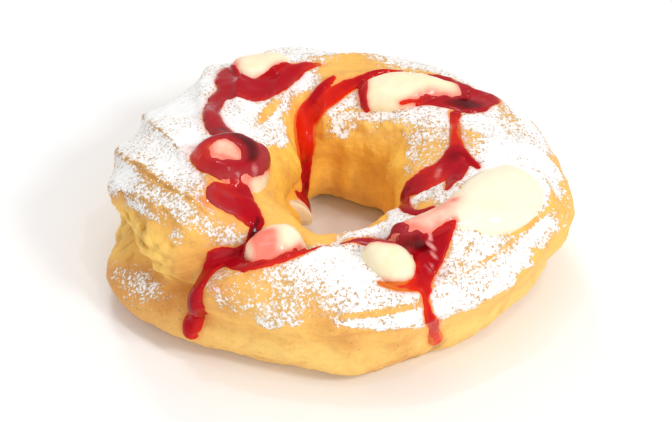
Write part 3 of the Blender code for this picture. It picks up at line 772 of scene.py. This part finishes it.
def place_on_ring(ring, section, height):
    """Point at each pair of angles, a height over the two plain rounds, never below the base."""
    upper, lower, hole, crown, softness = (
        round_the_ring(stations, ring)
        for stations in (UPPER_RADIUS, LOWER_RADIUS, HOLE_RADIUS, CROWN_HEIGHT, CREASE_SOFTNESS)
    )
    middle = (np.minimum(upper, lower) + hole) / 2
    across = np.cos(np.radians(section))
    up = np.sin(np.radians(section))
    upper_round = reach_of_round(
        across, up, (upper + hole + UPPER_INSET) / 2 - middle, crown - UPPER_HALF_HEIGHT - CREASE_HEIGHT,
        (upper - hole - UPPER_INSET) / 2, UPPER_HALF_HEIGHT,
    )
    lower_round = reach_of_round(
        across, up, (lower + hole) / 2 - middle, LOWER_MID_HEIGHT - CREASE_HEIGHT,
        (lower - hole) / 2, LOWER_HALF_HEIGHT,
    )
    out = soft_maximum(upper_round, lower_round, softness) - softness * CREASE_FILL + height
    radius = middle + out * across
    return np.stack([
        RING_X + radius * np.cos(np.radians(ring)),
        RING_Y + radius * np.sin(np.radians(ring)),
        np.maximum(CREASE_HEIGHT + out * up, 0),
    ], axis=-1)


def fractal(places, grain):
    """Uneven values of about -1 to 1 at each place."""
    points = (places / grain.size + grain.offset).tolist()
    return np.array([noise.fractal(point, 1.0, 2.0, grain.octaves) for point in points])


def inside_path(ring, section, points):
    """How far inside the edge of a path each place is, and the values that the path carries there."""
    path = smooth_path(points)
    inside = np.full(ring.shape, -np.inf)
    carried = np.zeros((path.shape[1] - 3,) + ring.shape)
    for distance, _, _, index, share in along_path(ring, section, path):
        values = path[index, 2:, None] + share * (path[index + 1, 2:, None] - path[index, 2:, None])
        span_inside = values[0] * MM - distance
        nearer = span_inside > inside
        inside = np.where(nearer, span_inside, inside)
        carried = np.where(nearer, values[1:], carried)
    return inside, carried


def domed(inside, width):
    """Rise from 0 at an edge to 1 at a width inside it, as round as a drop."""
    share = np.clip(inside / width, 0, 1)
    return np.sqrt(1 - (1 - share)**2)


def inside_cream(ring, section, dollop):
    insides = [inside_path(ring, section, spine)[0] for spine in dollop.spines]
    return CREAM_BLEND * np.logaddexp.reduce(np.stack(insides) / CREAM_BLEND, axis=0)


def cream_height(ring, section, dollop):
    """Height of one dollop over the two plain rounds. Outside its edge it dives into the crust."""
    inside = inside_cream(ring, section, dollop)
    return dollop.height * domed(inside, dollop.shoulder) + CREAM_DIVE * np.minimum(inside, 0)


def highest_cream(ring, section):
    return np.max([cream_height(ring, section, dollop) for dollop in CREAM.values()], axis=0)


def sauce_at(ring, section, streams):
    """How far inside the sauce each place is, and its thickness, darkness and share of sugar."""
    insides, thickness, dark, sugary = [], [], [], []
    for stream in streams:
        inside, carried = inside_path(ring, section, stream.path)
        insides.append(inside)
        thickness.append(np.full(ring.shape, stream.thickness))
        dark.append(carried[0])
        sugary.append(np.full(ring.shape, stream.sugary))
    insides = np.stack(insides) / STREAM_BLEND
    joined = np.logaddexp.reduce(insides, axis=0)
    shares = np.exp(insides - joined)
    blended = ((shares * np.stack(values)).sum(0) for values in (thickness, dark, sugary))
    return (STREAM_BLEND * joined, *blended)


def all_sauce(ring, section):
    streams = [stream for group in SAUCE.values() for stream in group.values()]
    return sauce_at(ring, section, streams)[0]


def sugar_cover(ring, section, places):
    """Cover of powdered sugar, from 0 to FULL_COVER, before the fine pattern of the powder."""
    low = round_the_ring(SUGAR_LOW, ring)
    high = round_the_ring(SUGAR_HIGH, ring)
    wander = SUGAR_WANDER * fractal(places, SUGAR_EDGE_GRAIN)
    section = turned(section, 90)
    lower_fade = SUGAR_FADE * (1 + LONG_FADE_EXTRA * in_band(ring, LONG_FADE))
    cover = ease(SUGAR_AT_LOW_EDGE + (section - low + wander) / lower_fade)
    cover *= ease(SUGAR_AT_HIGH_EDGE + (high - section + wander) / SUGAR_FADE)
    cover *= 1 + from_spots(ring, section, HEAVY_SPOTS)
    cover += from_spots(ring, section, DUSTED_SPOTS) - from_spots(ring, section, BARE_SPOTS)
    inside = inside_cream(ring, section, CREAM["cream_right"])
    cover -= bell((inside + CREAM_RIM_AWAY) / CREAM_RIM_WIDTH) * from_spot(ring, section, CREAM_RIM)
    return np.clip(cover, 0, FULL_COVER)


def vertex_places(mesh):
    places = np.empty(len(mesh.vertices) * 3, dtype=np.float32)
    mesh.vertices.foreach_get("co", places)
    return places.reshape(-1, 3).astype(float)


def move_vertices(mesh, places):
    mesh.vertices.foreach_set("co", places.astype(np.float32).ravel())
    mesh.update()


def paint(mesh, **values):
    """Store a value for each vertex, which the material reads by name."""
    for name, value in values.items():
        layer = mesh.attributes.new(name, "FLOAT", "POINT")
        layer.data.foreach_set("value", np.asarray(value, dtype=np.float32))


def finish_piece(name, shape, material, replaced=()):
    """Turn a bmesh into a smooth piece of the pastry, with the material it shows."""
    mesh = bpy.data.meshes.new(name)
    shape.to_mesh(mesh)
    shape.free()
    piece = bpy.data.objects.new(name, mesh)
    bpy.context.scene.collection.objects.link(piece)
    mesh.materials.append(material)
    mesh.shade_smooth()
    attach(piece, "root")
    if replaced:
        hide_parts(*replaced)
    return piece


class Shader:
    """A Principled material and short ways to add nodes to it."""

    def __init__(self, name, roughness, coat=0.0):
        self.material = bpy.data.materials.new(name)
        self.material.use_nodes = True
        self.tree = self.material.node_tree
        self.surface = self.tree.nodes["Principled BSDF"]
        self.surface.inputs["Roughness"].default_value = roughness
        self.surface.inputs["Coat Weight"].default_value = coat
        self.places = self.tree.nodes.new("ShaderNodeTexCoord").outputs["Object"]

    def socket(self, target, value):
        if isinstance(value, bpy.types.NodeSocket):
            self.tree.links.new(value, target)
        elif target.type == "RGBA":
            target.default_value = (*value, 1.0)
        else:
            target.default_value = value

    def math(self, operation, *values):
        node = self.tree.nodes.new("ShaderNodeMath")
        node.operation = operation
        for target, value in zip(node.inputs, values):
            self.socket(target, value)
        return node.outputs[0]

    def plus(self, first, second):
        return self.math("ADD", first, second)

    def minus(self, first, second):
        return self.math("SUBTRACT", first, second)

    def times(self, first, second):
        return self.math("MULTIPLY", first, second)

    def attribute(self, name):
        node = self.tree.nodes.new("ShaderNodeAttribute")
        node.attribute_name = name
        return node.outputs["Fac"]

    def noise(self, texture):
        """Uneven values of 0 to 1 with features of about the texture's size."""
        mapping = self.tree.nodes.new("ShaderNodeMapping")
        mapping.inputs["Scale"].default_value = texture.stretch
        self.tree.links.new(self.places, mapping.inputs["Vector"])
        node = self.tree.nodes.new("ShaderNodeTexNoise")
        node.inputs["Scale"].default_value = 1 / texture.size
        node.inputs["Detail"].default_value = texture.detail
        node.inputs["Roughness"].default_value = texture.roughness
        self.tree.links.new(mapping.outputs[0], node.inputs["Vector"])
        return node.outputs["Fac"]

    def between(self, value, low, high):
        """0 below low, 1 above high, smooth between them."""
        node = self.tree.nodes.new("ShaderNodeMapRange")
        node.interpolation_type = "SMOOTHSTEP"
        self.socket(node.inputs["Value"], value)
        node.inputs["From Min"].default_value = low
        node.inputs["From Max"].default_value = high
        return node.outputs["Result"]

    def mix(self, share, first, second):
        node = self.tree.nodes.new("ShaderNodeMix")
        node.data_type = "RGBA"
        self.socket(node.inputs["Factor"], share)
        colours = [socket for socket in node.inputs if socket.type == "RGBA"]
        self.socket(colours[0], first)
        self.socket(colours[1], second)
        return next(socket for socket in node.outputs if socket.type == "RGBA")

    def bump(self, height, distance, strength):
        node = self.tree.nodes.new("ShaderNodeBump")
        node.inputs["Strength"].default_value = strength
        node.inputs["Distance"].default_value = distance
        self.tree.links.new(height, node.inputs["Height"])
        self.tree.links.new(node.outputs["Normal"], self.surface.inputs["Normal"])

    def show(self, colour, roughness=None):
        self.tree.links.new(colour, self.surface.inputs["Base Color"])
        if roughness is not None:
            self.tree.links.new(roughness, self.surface.inputs["Roughness"])
        return self.material


def baked_colour(shader, crust, blotches, grain, scratches):
    """Golden crust, a richer orange on the inner wall as painted bounced light, toasted in patches, brown on
    the crests, red where sauce soaked in, and darker as painted shade in the folds, below the crests and in
    the hollows of the crumb.
    """
    mottling = shader.noise(MOTTLING)
    freckles = shader.noise(FRECKLES)
    baked = shader.plus(shader.attribute("baked"), shader.between(blotches, 0.50, 0.80))
    # Painted shade: the torn crumb is darker in the hollows of its crags and lighter on their tops
    crags = shader.plus(shader.attribute("crags"), shader.times(grain, 0.4))
    crumb = shader.mix(shader.between(crags, 0.35, 0.80), crust.crumb_shadow, crust.crumb_colour)
    scorched = shader.plus(shader.attribute("lip"), shader.times(grain, 0.5))
    shade = shader.mix(shader.attribute("low"), crust.golden, crust.pale)
    for share, layer in (
        # Painted bounced light on the inner wall
        (shader.attribute("inner"), crust.inner_bounce_light),
        (shader.times(baked, 0.6), crust.toasted),
        (shader.times(shader.between(scratches, 0.48, 0.80), 0.30), crust.brown),
        (shader.times(shader.between(mottling, 0.50, 0.75), 0.45), crust.toasted),
        (shader.times(shader.times(shader.between(freckles, 0.60, 0.70), baked), 0.45), crust.brown),
        (shader.attribute("torn"), crumb),
        (shader.times(shader.between(scorched, 0.45, 1.0), 0.8), crust.brown),
        (shader.times(shader.attribute("soak"), 0.75), crust.soaked),
    ):
        shade = shader.mix(share, shade, layer)
    return shade


def powder_on_crust(shader, blotches):
    """1 on the powdered sugar and 0 in its gaps, which grow as the cover thins."""
    flakes = shader.noise(POWDER_FLAKES)
    fine = shader.noise(POWDER_FINE)
    patches = shader.noise(POWDER_PATCHES)
    pits = shader.noise(POWDER_PITS)
    pattern = shader.plus(shader.times(flakes, 0.5), shader.times(fine, 0.4))
    pattern = shader.plus(pattern, shader.times(patches, 0.1))
    cover = shader.plus(shader.times(shader.attribute("sugar"), 0.28), 0.32)
    powder = shader.between(shader.minus(cover, pattern), -0.03, 0.06)
    specks = shader.times(shader.between(pits, 0.55, 0.62), shader.between(blotches, 0.62, 0.40))
    return shader.minus(powder, shader.times(powder, specks))


def crust_material(crust, sugar):
    """Baked choux with powdered sugar over it in a speckled cover."""
    shader = Shader("choux_crust", CRUST_ROUGHNESS)
    blotches = shader.noise(BLOTCHES)
    grain = shader.noise(CRUST_GRAIN)
    scratches = shader.noise(SCRATCHES)
    baked = baked_colour(shader, crust, blotches, grain, scratches)
    # Painted shade: where the powder lies thick, the crust in its gaps is darkened towards the shadow colour
    shaded = shader.times(shader.between(shader.attribute("sugar"), 0.3, 1.1), 0.75)
    baked = shader.mix(shaded, baked, sugar.shadow)
    white = shader.mix(shader.attribute("soak"), sugar.colour, sugar.soaked)
    powder = powder_on_crust(shader, blotches)
    height = shader.plus(grain, shader.times(scratches, 1.6))
    height = shader.plus(shader.times(powder, 0.6), height)
    shader.bump(height, CRUST_BUMP, 0.6)
    rough = shader.plus(shader.times(powder, POWDER_ROUGHER), CRUST_ROUGHNESS)
    return shader.show(shader.mix(powder, baked, white), rough)


def sauce_material(sauce):
    """Fruit sauce, darker where it is deep and dull pink where it has taken up sugar."""
    shader = Shader("fruit_sauce", SAUCE_ROUGHNESS)
    shader.surface.inputs["Specular IOR Level"].default_value = SAUCE_SPECULAR
    streaks = shader.noise(SAUCE_STREAKS)
    dark = shader.plus(shader.attribute("dark"), shader.times(streaks, 0.24))
    colour = shader.mix(shader.between(dark, -0.20, 0.15), sauce.thin, sauce.bright)
    colour = shader.mix(shader.between(dark, 0.15, 0.62), colour, sauce.crimson)
    colour = shader.mix(shader.between(dark, 0.70, 1.15), colour, sauce.dark)
    colour = shader.mix(shader.attribute("sugary"), colour, sauce.sugary)
    swirls = shader.times(shader.noise(SAUCE_SWIRLS), 0.5)
    milky = shader.between(shader.plus(shader.attribute("milky"), swirls), 0.50, 1.10)
    colour = shader.mix(milky, colour, sauce.milky)
    rough = shader.plus(shader.times(shader.attribute("sugary"), SUGARY_ROUGHER), SAUCE_ROUGHNESS)
    return shader.show(colour, rough)


def cream_material(cream):
    """Ivory custard cream, pink where sauce has soaked in."""
    shader = Shader("custard_cream", CREAM_ROUGHNESS, CREAM_COAT)
    for name, value in CREAM_DEPTH_OF_LIGHT.items():
        shader.surface.inputs[name].default_value = value
    streaks = shader.noise(CREAM_STREAKS)
    stain = shader.times(shader.attribute("stain"), shader.plus(streaks, 0.5))
    yolk = shader.times(shader.attribute("yolk"), shader.plus(streaks, 0.2))
    colour = shader.mix(yolk, cream.colour, cream.custard)
    colour = shader.mix(shader.between(stain, 0.05, 1.0), colour, cream.stain)
    shader.bump(streaks, CREAM_BUMP, 0.3)
    return shader.show(colour)


def powder_material(sugar):
    shader = Shader("powdered_sugar", CLUMP_ROUGHNESS)
    tint = shader.noise(CLUMP_TINT)
    return shader.show(shader.mix(tint, sugar.colour, sugar.bright))


class OBJECT_OT_zeppola_ring(bpy.types.Operator):
    """Bake the choux ring: a circle spun round the hole, then moved onto the piped form"""

    bl_idname = "object.zeppola_ring"
    bl_label = "Choux ring"

    def execute(self, context):
        crust = context.scene.zeppola_crust
        sugar = context.scene.zeppola_sugar
        shape = self.plain_ring(crust)
        piece = finish_piece("choux_crust", shape, crust_material(crust, sugar), ["choux_ring"])
        x, y, z = vertex_places(piece.data).T
        ring = np.degrees(np.arctan2(y, x))
        section = np.arctan2(z, np.hypot(x, y) - RING_RADIUS)
        section = np.degrees(section + SECTION_BIAS * np.cos(section))
        height = relief(ring, section)
        places = place_on_ring(ring, section, height)
        sauce = all_sauce(ring, section)
        open_air = faded(sauce, OPEN_AIR_FADE)
        torn = self.torn(ring, section)
        lip, band = self.lips(ring, section, places)
        cover = sugar_cover(ring, section, places)
        cover -= SUGAR_OFF_LIP * lip + SUGAR_OFF_BAND * band + SUGAR_OFF_CRUMB * torn
        cover = np.maximum(cover, 0) * open_air
        crags = CRAG_HEIGHT * fractal(places * CRAG_SQUEEZE, CRAG_GRAIN)
        height += crust.crumb * fractal(places, CRUMB_GRAIN) * open_air
        height += crust.folds * fractal(places, FOLD_GRAIN)
        height += torn * crust.torn * crags
        lumpy = 1 + POWDER_LUMPINESS * fractal(places, POWDER_GRAIN)
        height += sugar.depth * np.clip(cover, 0, 1) * lumpy
        height -= SAUCE_SINK * ease(sauce / MARGIN_WIDTH)
        move_vertices(piece.data, place_on_ring(ring, section, height))
        upright_section = turned(section, 90)
        # The baked attribute holds painted shade beside real toasting: the fold between the rounds, the band
        # below each crest and some spots; crags darkens the hollows of the torn crumb as painted shade
        paint(
            piece.data, sugar=cover, torn=torn, lip=lip, crags=0.5 + 0.5 * crags,
            baked=self.baked(ring, section, crust) + BAND_SHADE * band,
            soak=self.soaked(ring, section, places, sauce),
            inner=faded(upright_section, INNER_FADE), low=faded(upright_section, LOW_FADE))
        return {"FINISHED"}

    def plain_ring(self, crust):
        """A torus: a circle spun through an eighth of a turn, and that part doubled three times."""
        shape = bmesh.new()
        upright = Matrix.Translation((RING_RADIUS, 0, 0)) @ Matrix.Rotation(math.pi / 2, 4, "X")
        circle = bmesh.ops.create_circle(
            shape, cap_ends=False, radius=STRAND_RADIUS, segments=crust.strand_segments, matrix=upright)
        bmesh.ops.spin(
            shape, geom=circle["verts"] + shape.edges[:], cent=(0, 0, 0), axis=(0, 0, 1),
            angle=math.tau / 8, steps=crust.ring_segments // 8)
        for turn in (math.tau / 8, math.tau / 4, math.tau / 2):
            copy = bmesh.ops.duplicate(shape, geom=shape.verts[:] + shape.edges[:] + shape.faces[:])
            verts = [item for item in copy["geom"] if isinstance(item, bmesh.types.BMVert)]
            bmesh.ops.rotate(shape, verts=verts, cent=(0, 0, 0), matrix=Matrix.Rotation(turn, 3, "Z"))
        bmesh.ops.remove_doubles(shape, verts=shape.verts, dist=WELD)
        bmesh.ops.recalc_face_normals(shape, faces=shape.faces)
        return shape

    def torn(self, ring, section):
        """1 in the burst, where the crumb shows, and less along the ragged ridge of the inner wall."""
        torn = np.zeros(ring.shape)
        for path, fade, most in (
            (GROOVES["burst"].path, BURST_FADE, 1.0),
            (RAGGED_RIDGE, RIDGE_FADE, RIDGE_SHARE),
        ):
            distance, _, share = nearest_on_path(ring, section, path)
            torn = np.maximum(torn, most * faded(distance, fade) * faded_ends(share, TORN_END_FADE))
        return torn

    def lips(self, ring, section, places):
        """Along the crest lines, which bake darkest, and in the steep band below each of them, which is
        darkened as painted shade.
        """
        lip = np.zeros(ring.shape)
        band = np.zeros(ring.shape)
        for crest in CRESTS.values():
            distance, side, share = nearest_on_path(ring, section, crest.path)
            ends = faded_ends(share, CREST_FADE)
            lip = np.maximum(lip, crest.scorch * ends * bell(distance / LIP_WIDTH))
            below = ends * bell((distance - BAND_AWAY) / BAND_WIDTH)
            band = np.maximum(band, np.where(side < 0, below, 0))
        broken = np.clip(LIP_SHARE * (1 + fractal(places, LIP_GRAIN)), 0, 1)
        return np.maximum(lip, from_spots(ring, section, CARAMEL_SPOTS)) * broken, band * broken

    def baked(self, ring, section, crust):
        """How far the crust is darkened: in the fold between the rounds as painted shade, toasted on the
        sole, and in patches, some of them painted shade.
        """
        outside = turned(section, 0)
        baked = crust.fold * in_band(section, FOLD_BAND) + crust.sole * faded(outside, SOLE_FADE)
        baked *= faded(outside, UNDERSIDE_FADE) * (1 - PALE_FRONT_SHARE * in_band(ring, PALE_FRONT))
        return baked + from_spots(ring, section, BAKED_SPOTS)

    def soaked(self, ring, section, places, sauce):
        """How far sauce has soaked in, beside its edge and in ragged patches."""
        ragged = np.clip(SOAK_MIDDLE + SOAK_SWING * fractal(places, SOAK_GRAIN), 0, SOAK_MOST)
        beside = SOAK_STRENGTH * np.exp(np.minimum(sauce, 0) / CRUST_SOAK)
        return np.maximum(beside, from_spots(ring, section, SOAKED_SPOTS) * ragged)


def flat_patch(places, spacing, margin):
    """A grid in ring and section angles round some places, with faces of about the given spacing."""
    places = np.array(places)[:, :2]
    low_section, high_section = places[:, 1].min(), places[:, 1].max()
    section_margin = math.degrees(margin / STRAND_RADIUS)
    low_section, high_section = low_section - section_margin, high_section + section_margin
    reach = RING_RADIUS + STRAND_RADIUS * math.cos(math.radians((low_section + high_section) / 2))
    ring_margin = math.degrees(margin / reach)
    low_ring, high_ring = places[:, 0].min() - ring_margin, places[:, 0].max() + ring_margin
    ring_steps = round(math.radians(high_ring - low_ring) * reach / spacing)
    section_steps = round(math.radians(high_section - low_section) * STRAND_RADIUS / spacing)
    shape = bmesh.new()
    size = Matrix.Diagonal(((high_ring - low_ring) / 2, (high_section - low_section) / 2, 1, 1))
    middle = Matrix.Translation(((low_ring + high_ring) / 2, (low_section + high_section) / 2, 0))
    bmesh.ops.create_grid(
        shape, x_segments=ring_steps, y_segments=section_steps, size=1.0, matrix=middle @ size)
    return shape


def keep_inside(shape, inside_of, margin):
    """Drop the faces of a flat patch that lie outside an edge, and give the rest a lower side."""
    places = np.array([vertex.co[:2] for vertex in shape.verts])
    inside = inside_of(places[:, 0], places[:, 1])
    shape.verts.ensure_lookup_table()
    away = [vertex for vertex, value in zip(shape.verts, inside) if value < -margin]
    bmesh.ops.delete(shape, geom=away, context="VERTS")
    raised = bmesh.ops.extrude_face_region(shape, geom=shape.faces[:], use_keep_orig=True)
    upper = [item for item in raised["geom"] if isinstance(item, bmesh.types.BMVert)]
    bmesh.ops.translate(shape, verts=upper, vec=Vector((0, 0, 1)))
    bmesh.ops.recalc_face_normals(shape, faces=shape.faces)


class OBJECT_OT_zeppola_cream(bpy.types.Operator):
    """Drop the dollops of cream, each a domed patch laid over the crust"""

    bl_idname = "object.zeppola_cream"
    bl_label = "Dollops of cream"

    def execute(self, context):
        settings = context.scene.zeppola_cream
        material = cream_material(settings)
        for name, dollop in CREAM.items():
            self.make_dollop(name, dollop, settings, material)
        return {"FINISHED"}

    def make_dollop(self, name, dollop, settings, material):
        spine_places = [point for spine in dollop.spines for point in spine]
        widest = max(point[2] for point in spine_places) * MM
        shape = flat_patch(spine_places, settings.spacing, widest * CREAM_PATCH)
        keep_inside(shape, lambda ring, section: inside_cream(ring, section, dollop), CREAM_SKIRT)
        piece = finish_piece(name + "_dollop", shape, material, [name])
        ring, section, upper = vertex_places(piece.data).T
        top = cream_height(ring, section, dollop)
        places = place_on_ring(ring, section, top)
        top += CREAM_UNEVENNESS * fractal(places, CREAM_GRAIN)
        under = np.minimum(relief(ring, section), top) - CREAM_DEPTH
        move_vertices(piece.data, place_on_ring(ring, section, np.where(upper > 0.5, top, under)))
        stain = from_spots(ring, section, CREAM_STAINS)
        edge = SOAK_STRENGTH * np.exp(np.minimum(all_sauce(ring, section), 0) / CREAM_SOAK)
        paint(piece.data, stain=np.clip(stain + edge, 0, 1), yolk=np.full(ring.shape, dollop.yolk))


class OBJECT_OT_zeppola_sauce(bpy.types.Operator):
    """Pour the fruit sauce over crust and cream"""

    bl_idname = "object.zeppola_sauce"
    bl_label = "Fruit sauce"

    def execute(self, context):
        settings = context.scene.zeppola_sauce
        material = sauce_material(settings)
        for name, streams in SAUCE.items():
            self.pour(name, list(streams.values()), settings, material)
        return {"FINISHED"}

    def pour(self, name, streams, settings, material):
        stream_places = [point for stream in streams for point in stream.path]
        shape = flat_patch(stream_places, settings.spacing, SAUCE_PATCH)
        keep_inside(shape, lambda ring, section: sauce_at(ring, section, streams)[0], SAUCE_SKIRT)
        piece = finish_piece(name, shape, material)
        ring, section, upper = vertex_places(piece.data).T
        bed = soft_maximum(relief(ring, section), highest_cream(ring, section), BED_SOFTNESS)
        inside, thickness, dark, sugary = sauce_at(ring, section, streams)
        places = place_on_ring(ring, section, bed)
        inside = inside + settings.waviness * fractal(places, SCALLOP_GRAIN)
        thickness = thickness * (1 + POUR_UNEVENNESS * fractal(places, POUR_GRAIN))
        top = bed + thickness * domed(inside, SAUCE_EDGE) + SAUCE_DIVE * np.minimum(inside, 0)
        top += SAUCE_FILL.height * from_spot(ring, section, SAUCE_FILL) * domed(inside, SAUCE_FILL_EDGE)
        under = np.minimum(bed, top) - SAUCE_DEPTH
        move_vertices(piece.data, place_on_ring(ring, section, np.where(upper > 0.5, top, under)))
        rim = ease(1 - inside / RIM_WIDTH)
        thin = ease(1 - dark / THIN_BELOW)
        margin = ease(1 - inside / MARGIN_WIDTH) * (MARGIN_PALER + THIN_MARGIN_PALER * thin)
        sugary *= SUGARY_INSIDE + (1 - SUGARY_INSIDE) * rim
        milky = from_spots(ring, section, MILKY_SPOTS)
        paint(
            piece.data, dark=dark * (1 - RIM_PALER * rim) - margin, milky=np.clip(milky, 0, 1),
            sugary=np.clip(sugary, 0, 1))


class OBJECT_OT_zeppola_clumps(bpy.types.Operator):
    """Scatter small clumps of powdered sugar where the cover is ragged"""

    bl_idname = "object.zeppola_clumps"
    bl_label = "Sugar clumps"

    def execute(self, context):
        sugar = context.scene.zeppola_sugar
        draw = np.random.default_rng(SEED)
        ring = draw.uniform(0, 360, sugar.clumps * CLUMP_TRIES)
        section = draw.uniform(*CLUMP_SECTIONS, sugar.clumps * CLUMP_TRIES)
        height = relief(ring, section)
        places = place_on_ring(ring, section, height)
        cover = sugar_cover(ring, section, places)
        free = all_sauce(ring, section) < -CLEAR_OF_SAUCE
        free &= highest_cream(ring, section) < height - CLEAR_OF_CREAM
        chance = np.where(free & (cover > CLUMP_COVER), np.clip(cover, 0, 1), 0)
        chosen = np.flatnonzero(draw.uniform(0, 1, len(ring)) < chance)[:sugar.clumps]
        shape = bmesh.new()
        for batch in np.array_split(chosen, max(len(chosen) // CLUMP_BATCH, 1)):
            self.add_clumps(shape, places[batch], sugar, draw)
        finish_piece("sugar_clumps", shape, powder_material(sugar))
        return {"FINISHED"}

    def add_clumps(self, shape, places, sugar, draw):
        """Add one clump at each place. A batch of its own keeps this quick."""
        batch = bmesh.new()
        for place in places:
            size = sugar.smallest + (sugar.largest - sugar.smallest) * draw.uniform() ** 3
            turn = Matrix.Rotation(draw.uniform(0, math.tau), 4, Vector(draw.normal(size=3)))
            flat = Matrix.Diagonal((1.0, draw.uniform(*CLUMP_WIDTHS), draw.uniform(*CLUMP_HEIGHTS), 1.0))
            where = Matrix.Translation(place)
            bmesh.ops.create_icosphere(batch, subdivisions=1, radius=size, matrix=where @ turn @ flat)
        mesh = bpy.data.meshes.new("clumps")
        batch.to_mesh(mesh)
        batch.free()
        shape.from_mesh(mesh)
        bpy.data.meshes.remove(mesh)


class OBJECT_OT_zeppola_stage(bpy.types.Operator):
    """Set the floor, the soft lights and the camera"""

    bl_idname = "object.zeppola_stage"
    bl_label = "Floor, lights and camera"

    def execute(self, context):
        stage = context.scene.zeppola_stage
        self.make_floor(context, stage)
        self.make_lights(context)
        self.make_camera(context, stage)
        return {"FINISHED"}

    def make_floor(self, context, stage):
        shape = bmesh.new()
        bmesh.ops.create_grid(shape, x_segments=1, y_segments=1, size=FLOOR_HALF_SIZE)
        mesh = bpy.data.meshes.new("floor")
        shape.to_mesh(mesh)
        shape.free()
        floor = bpy.data.objects.new("floor", mesh)
        context.scene.collection.objects.link(floor)
        shader = Shader("floor", FLOOR_ROUGHNESS)
        cloud = shader.noise(FLOOR_CLOUD)
        white = stage.floor_colour
        mesh.materials.append(shader.show(shader.mix(cloud, white, FLOOR_SHADE * white)))

    def make_lights(self, context):
        world = bpy.data.worlds.new("studio")
        world.use_nodes = True
        background = world.node_tree.nodes["Background"]
        background.inputs["Color"].default_value = (1.0, 1.0, 1.0, 1.0)
        background.inputs["Strength"].default_value = SURROUNDING
        context.scene.world = world
        context.scene.view_settings.view_transform = "Standard"
        for name, (place, size, watts) in LAMPS.items():
            light = bpy.data.lights.new(name, "AREA")
            light.energy = watts
            light.size = size
            lamp = bpy.data.objects.new(name, light)
            lamp.location = place
            lamp.visible_glossy = name != "back"
            lamp.rotation_euler = (-Vector(place)).to_track_quat("-Z", "Y").to_euler()
            context.scene.collection.objects.link(lamp)

    def make_camera(self, context, stage):
        lens = bpy.data.cameras.new("camera")
        lens.sensor_width = SENSOR_WIDTH
        lens.lens = FOCAL_LENGTH
        camera = bpy.data.objects.new("camera", lens)
        context.scene.collection.objects.link(camera)
        away = Vector((0, -math.cos(stage.elevation), math.sin(stage.elevation)))
        camera.location = Vector(TARGET) + stage.distance * away
        camera.rotation_euler = (-away).to_track_quat("-Z", "Y").to_euler()
        context.scene.camera = camera


class VIEW3D_PT_zeppola(bpy.types.Panel):
    bl_idname = "VIEW3D_PT_zeppola"
    bl_label = "Zeppola"
    bl_space_type = "VIEW_3D"
    bl_region_type = "UI"
    bl_category = "Zeppola"

    def draw(self, context):
        for operator, settings_name, group in STEPS:
            self.layout.operator(operator.bl_idname)
            settings = getattr(context.scene, settings_name)
            for name in group.__annotations__:
                self.layout.prop(settings, name)


STEPS = (
    (OBJECT_OT_zeppola_ring, "zeppola_crust", ZeppolaCrust),
    (OBJECT_OT_zeppola_cream, "zeppola_cream", ZeppolaCream),
    (OBJECT_OT_zeppola_sauce, "zeppola_sauce", ZeppolaSauce),
    (OBJECT_OT_zeppola_clumps, "zeppola_sugar", ZeppolaSugar),
    (OBJECT_OT_zeppola_stage, "zeppola_stage", ZeppolaStage),
)
CLASSES = (*(group for _, _, group in STEPS), *(operator for operator, _, _ in STEPS), VIEW3D_PT_zeppola)


def register():
    for piece in CLASSES:
        bpy.utils.register_class(piece)
    for _, name, group in STEPS:
        setattr(bpy.types.Scene, name, PointerProperty(type=group))


def unregister():
    for _, name, _ in STEPS:
        delattr(bpy.types.Scene, name)
    for piece in reversed(CLASSES):
        bpy.utils.unregister_class(piece)


def main():
    register()
    bpy.ops.object.zeppola_ring()
    bpy.ops.object.zeppola_cream()
    bpy.ops.object.zeppola_sauce()
    bpy.ops.object.zeppola_clumps()
    bpy.ops.object.zeppola_stage()


if __name__ == "__main__":
    main()
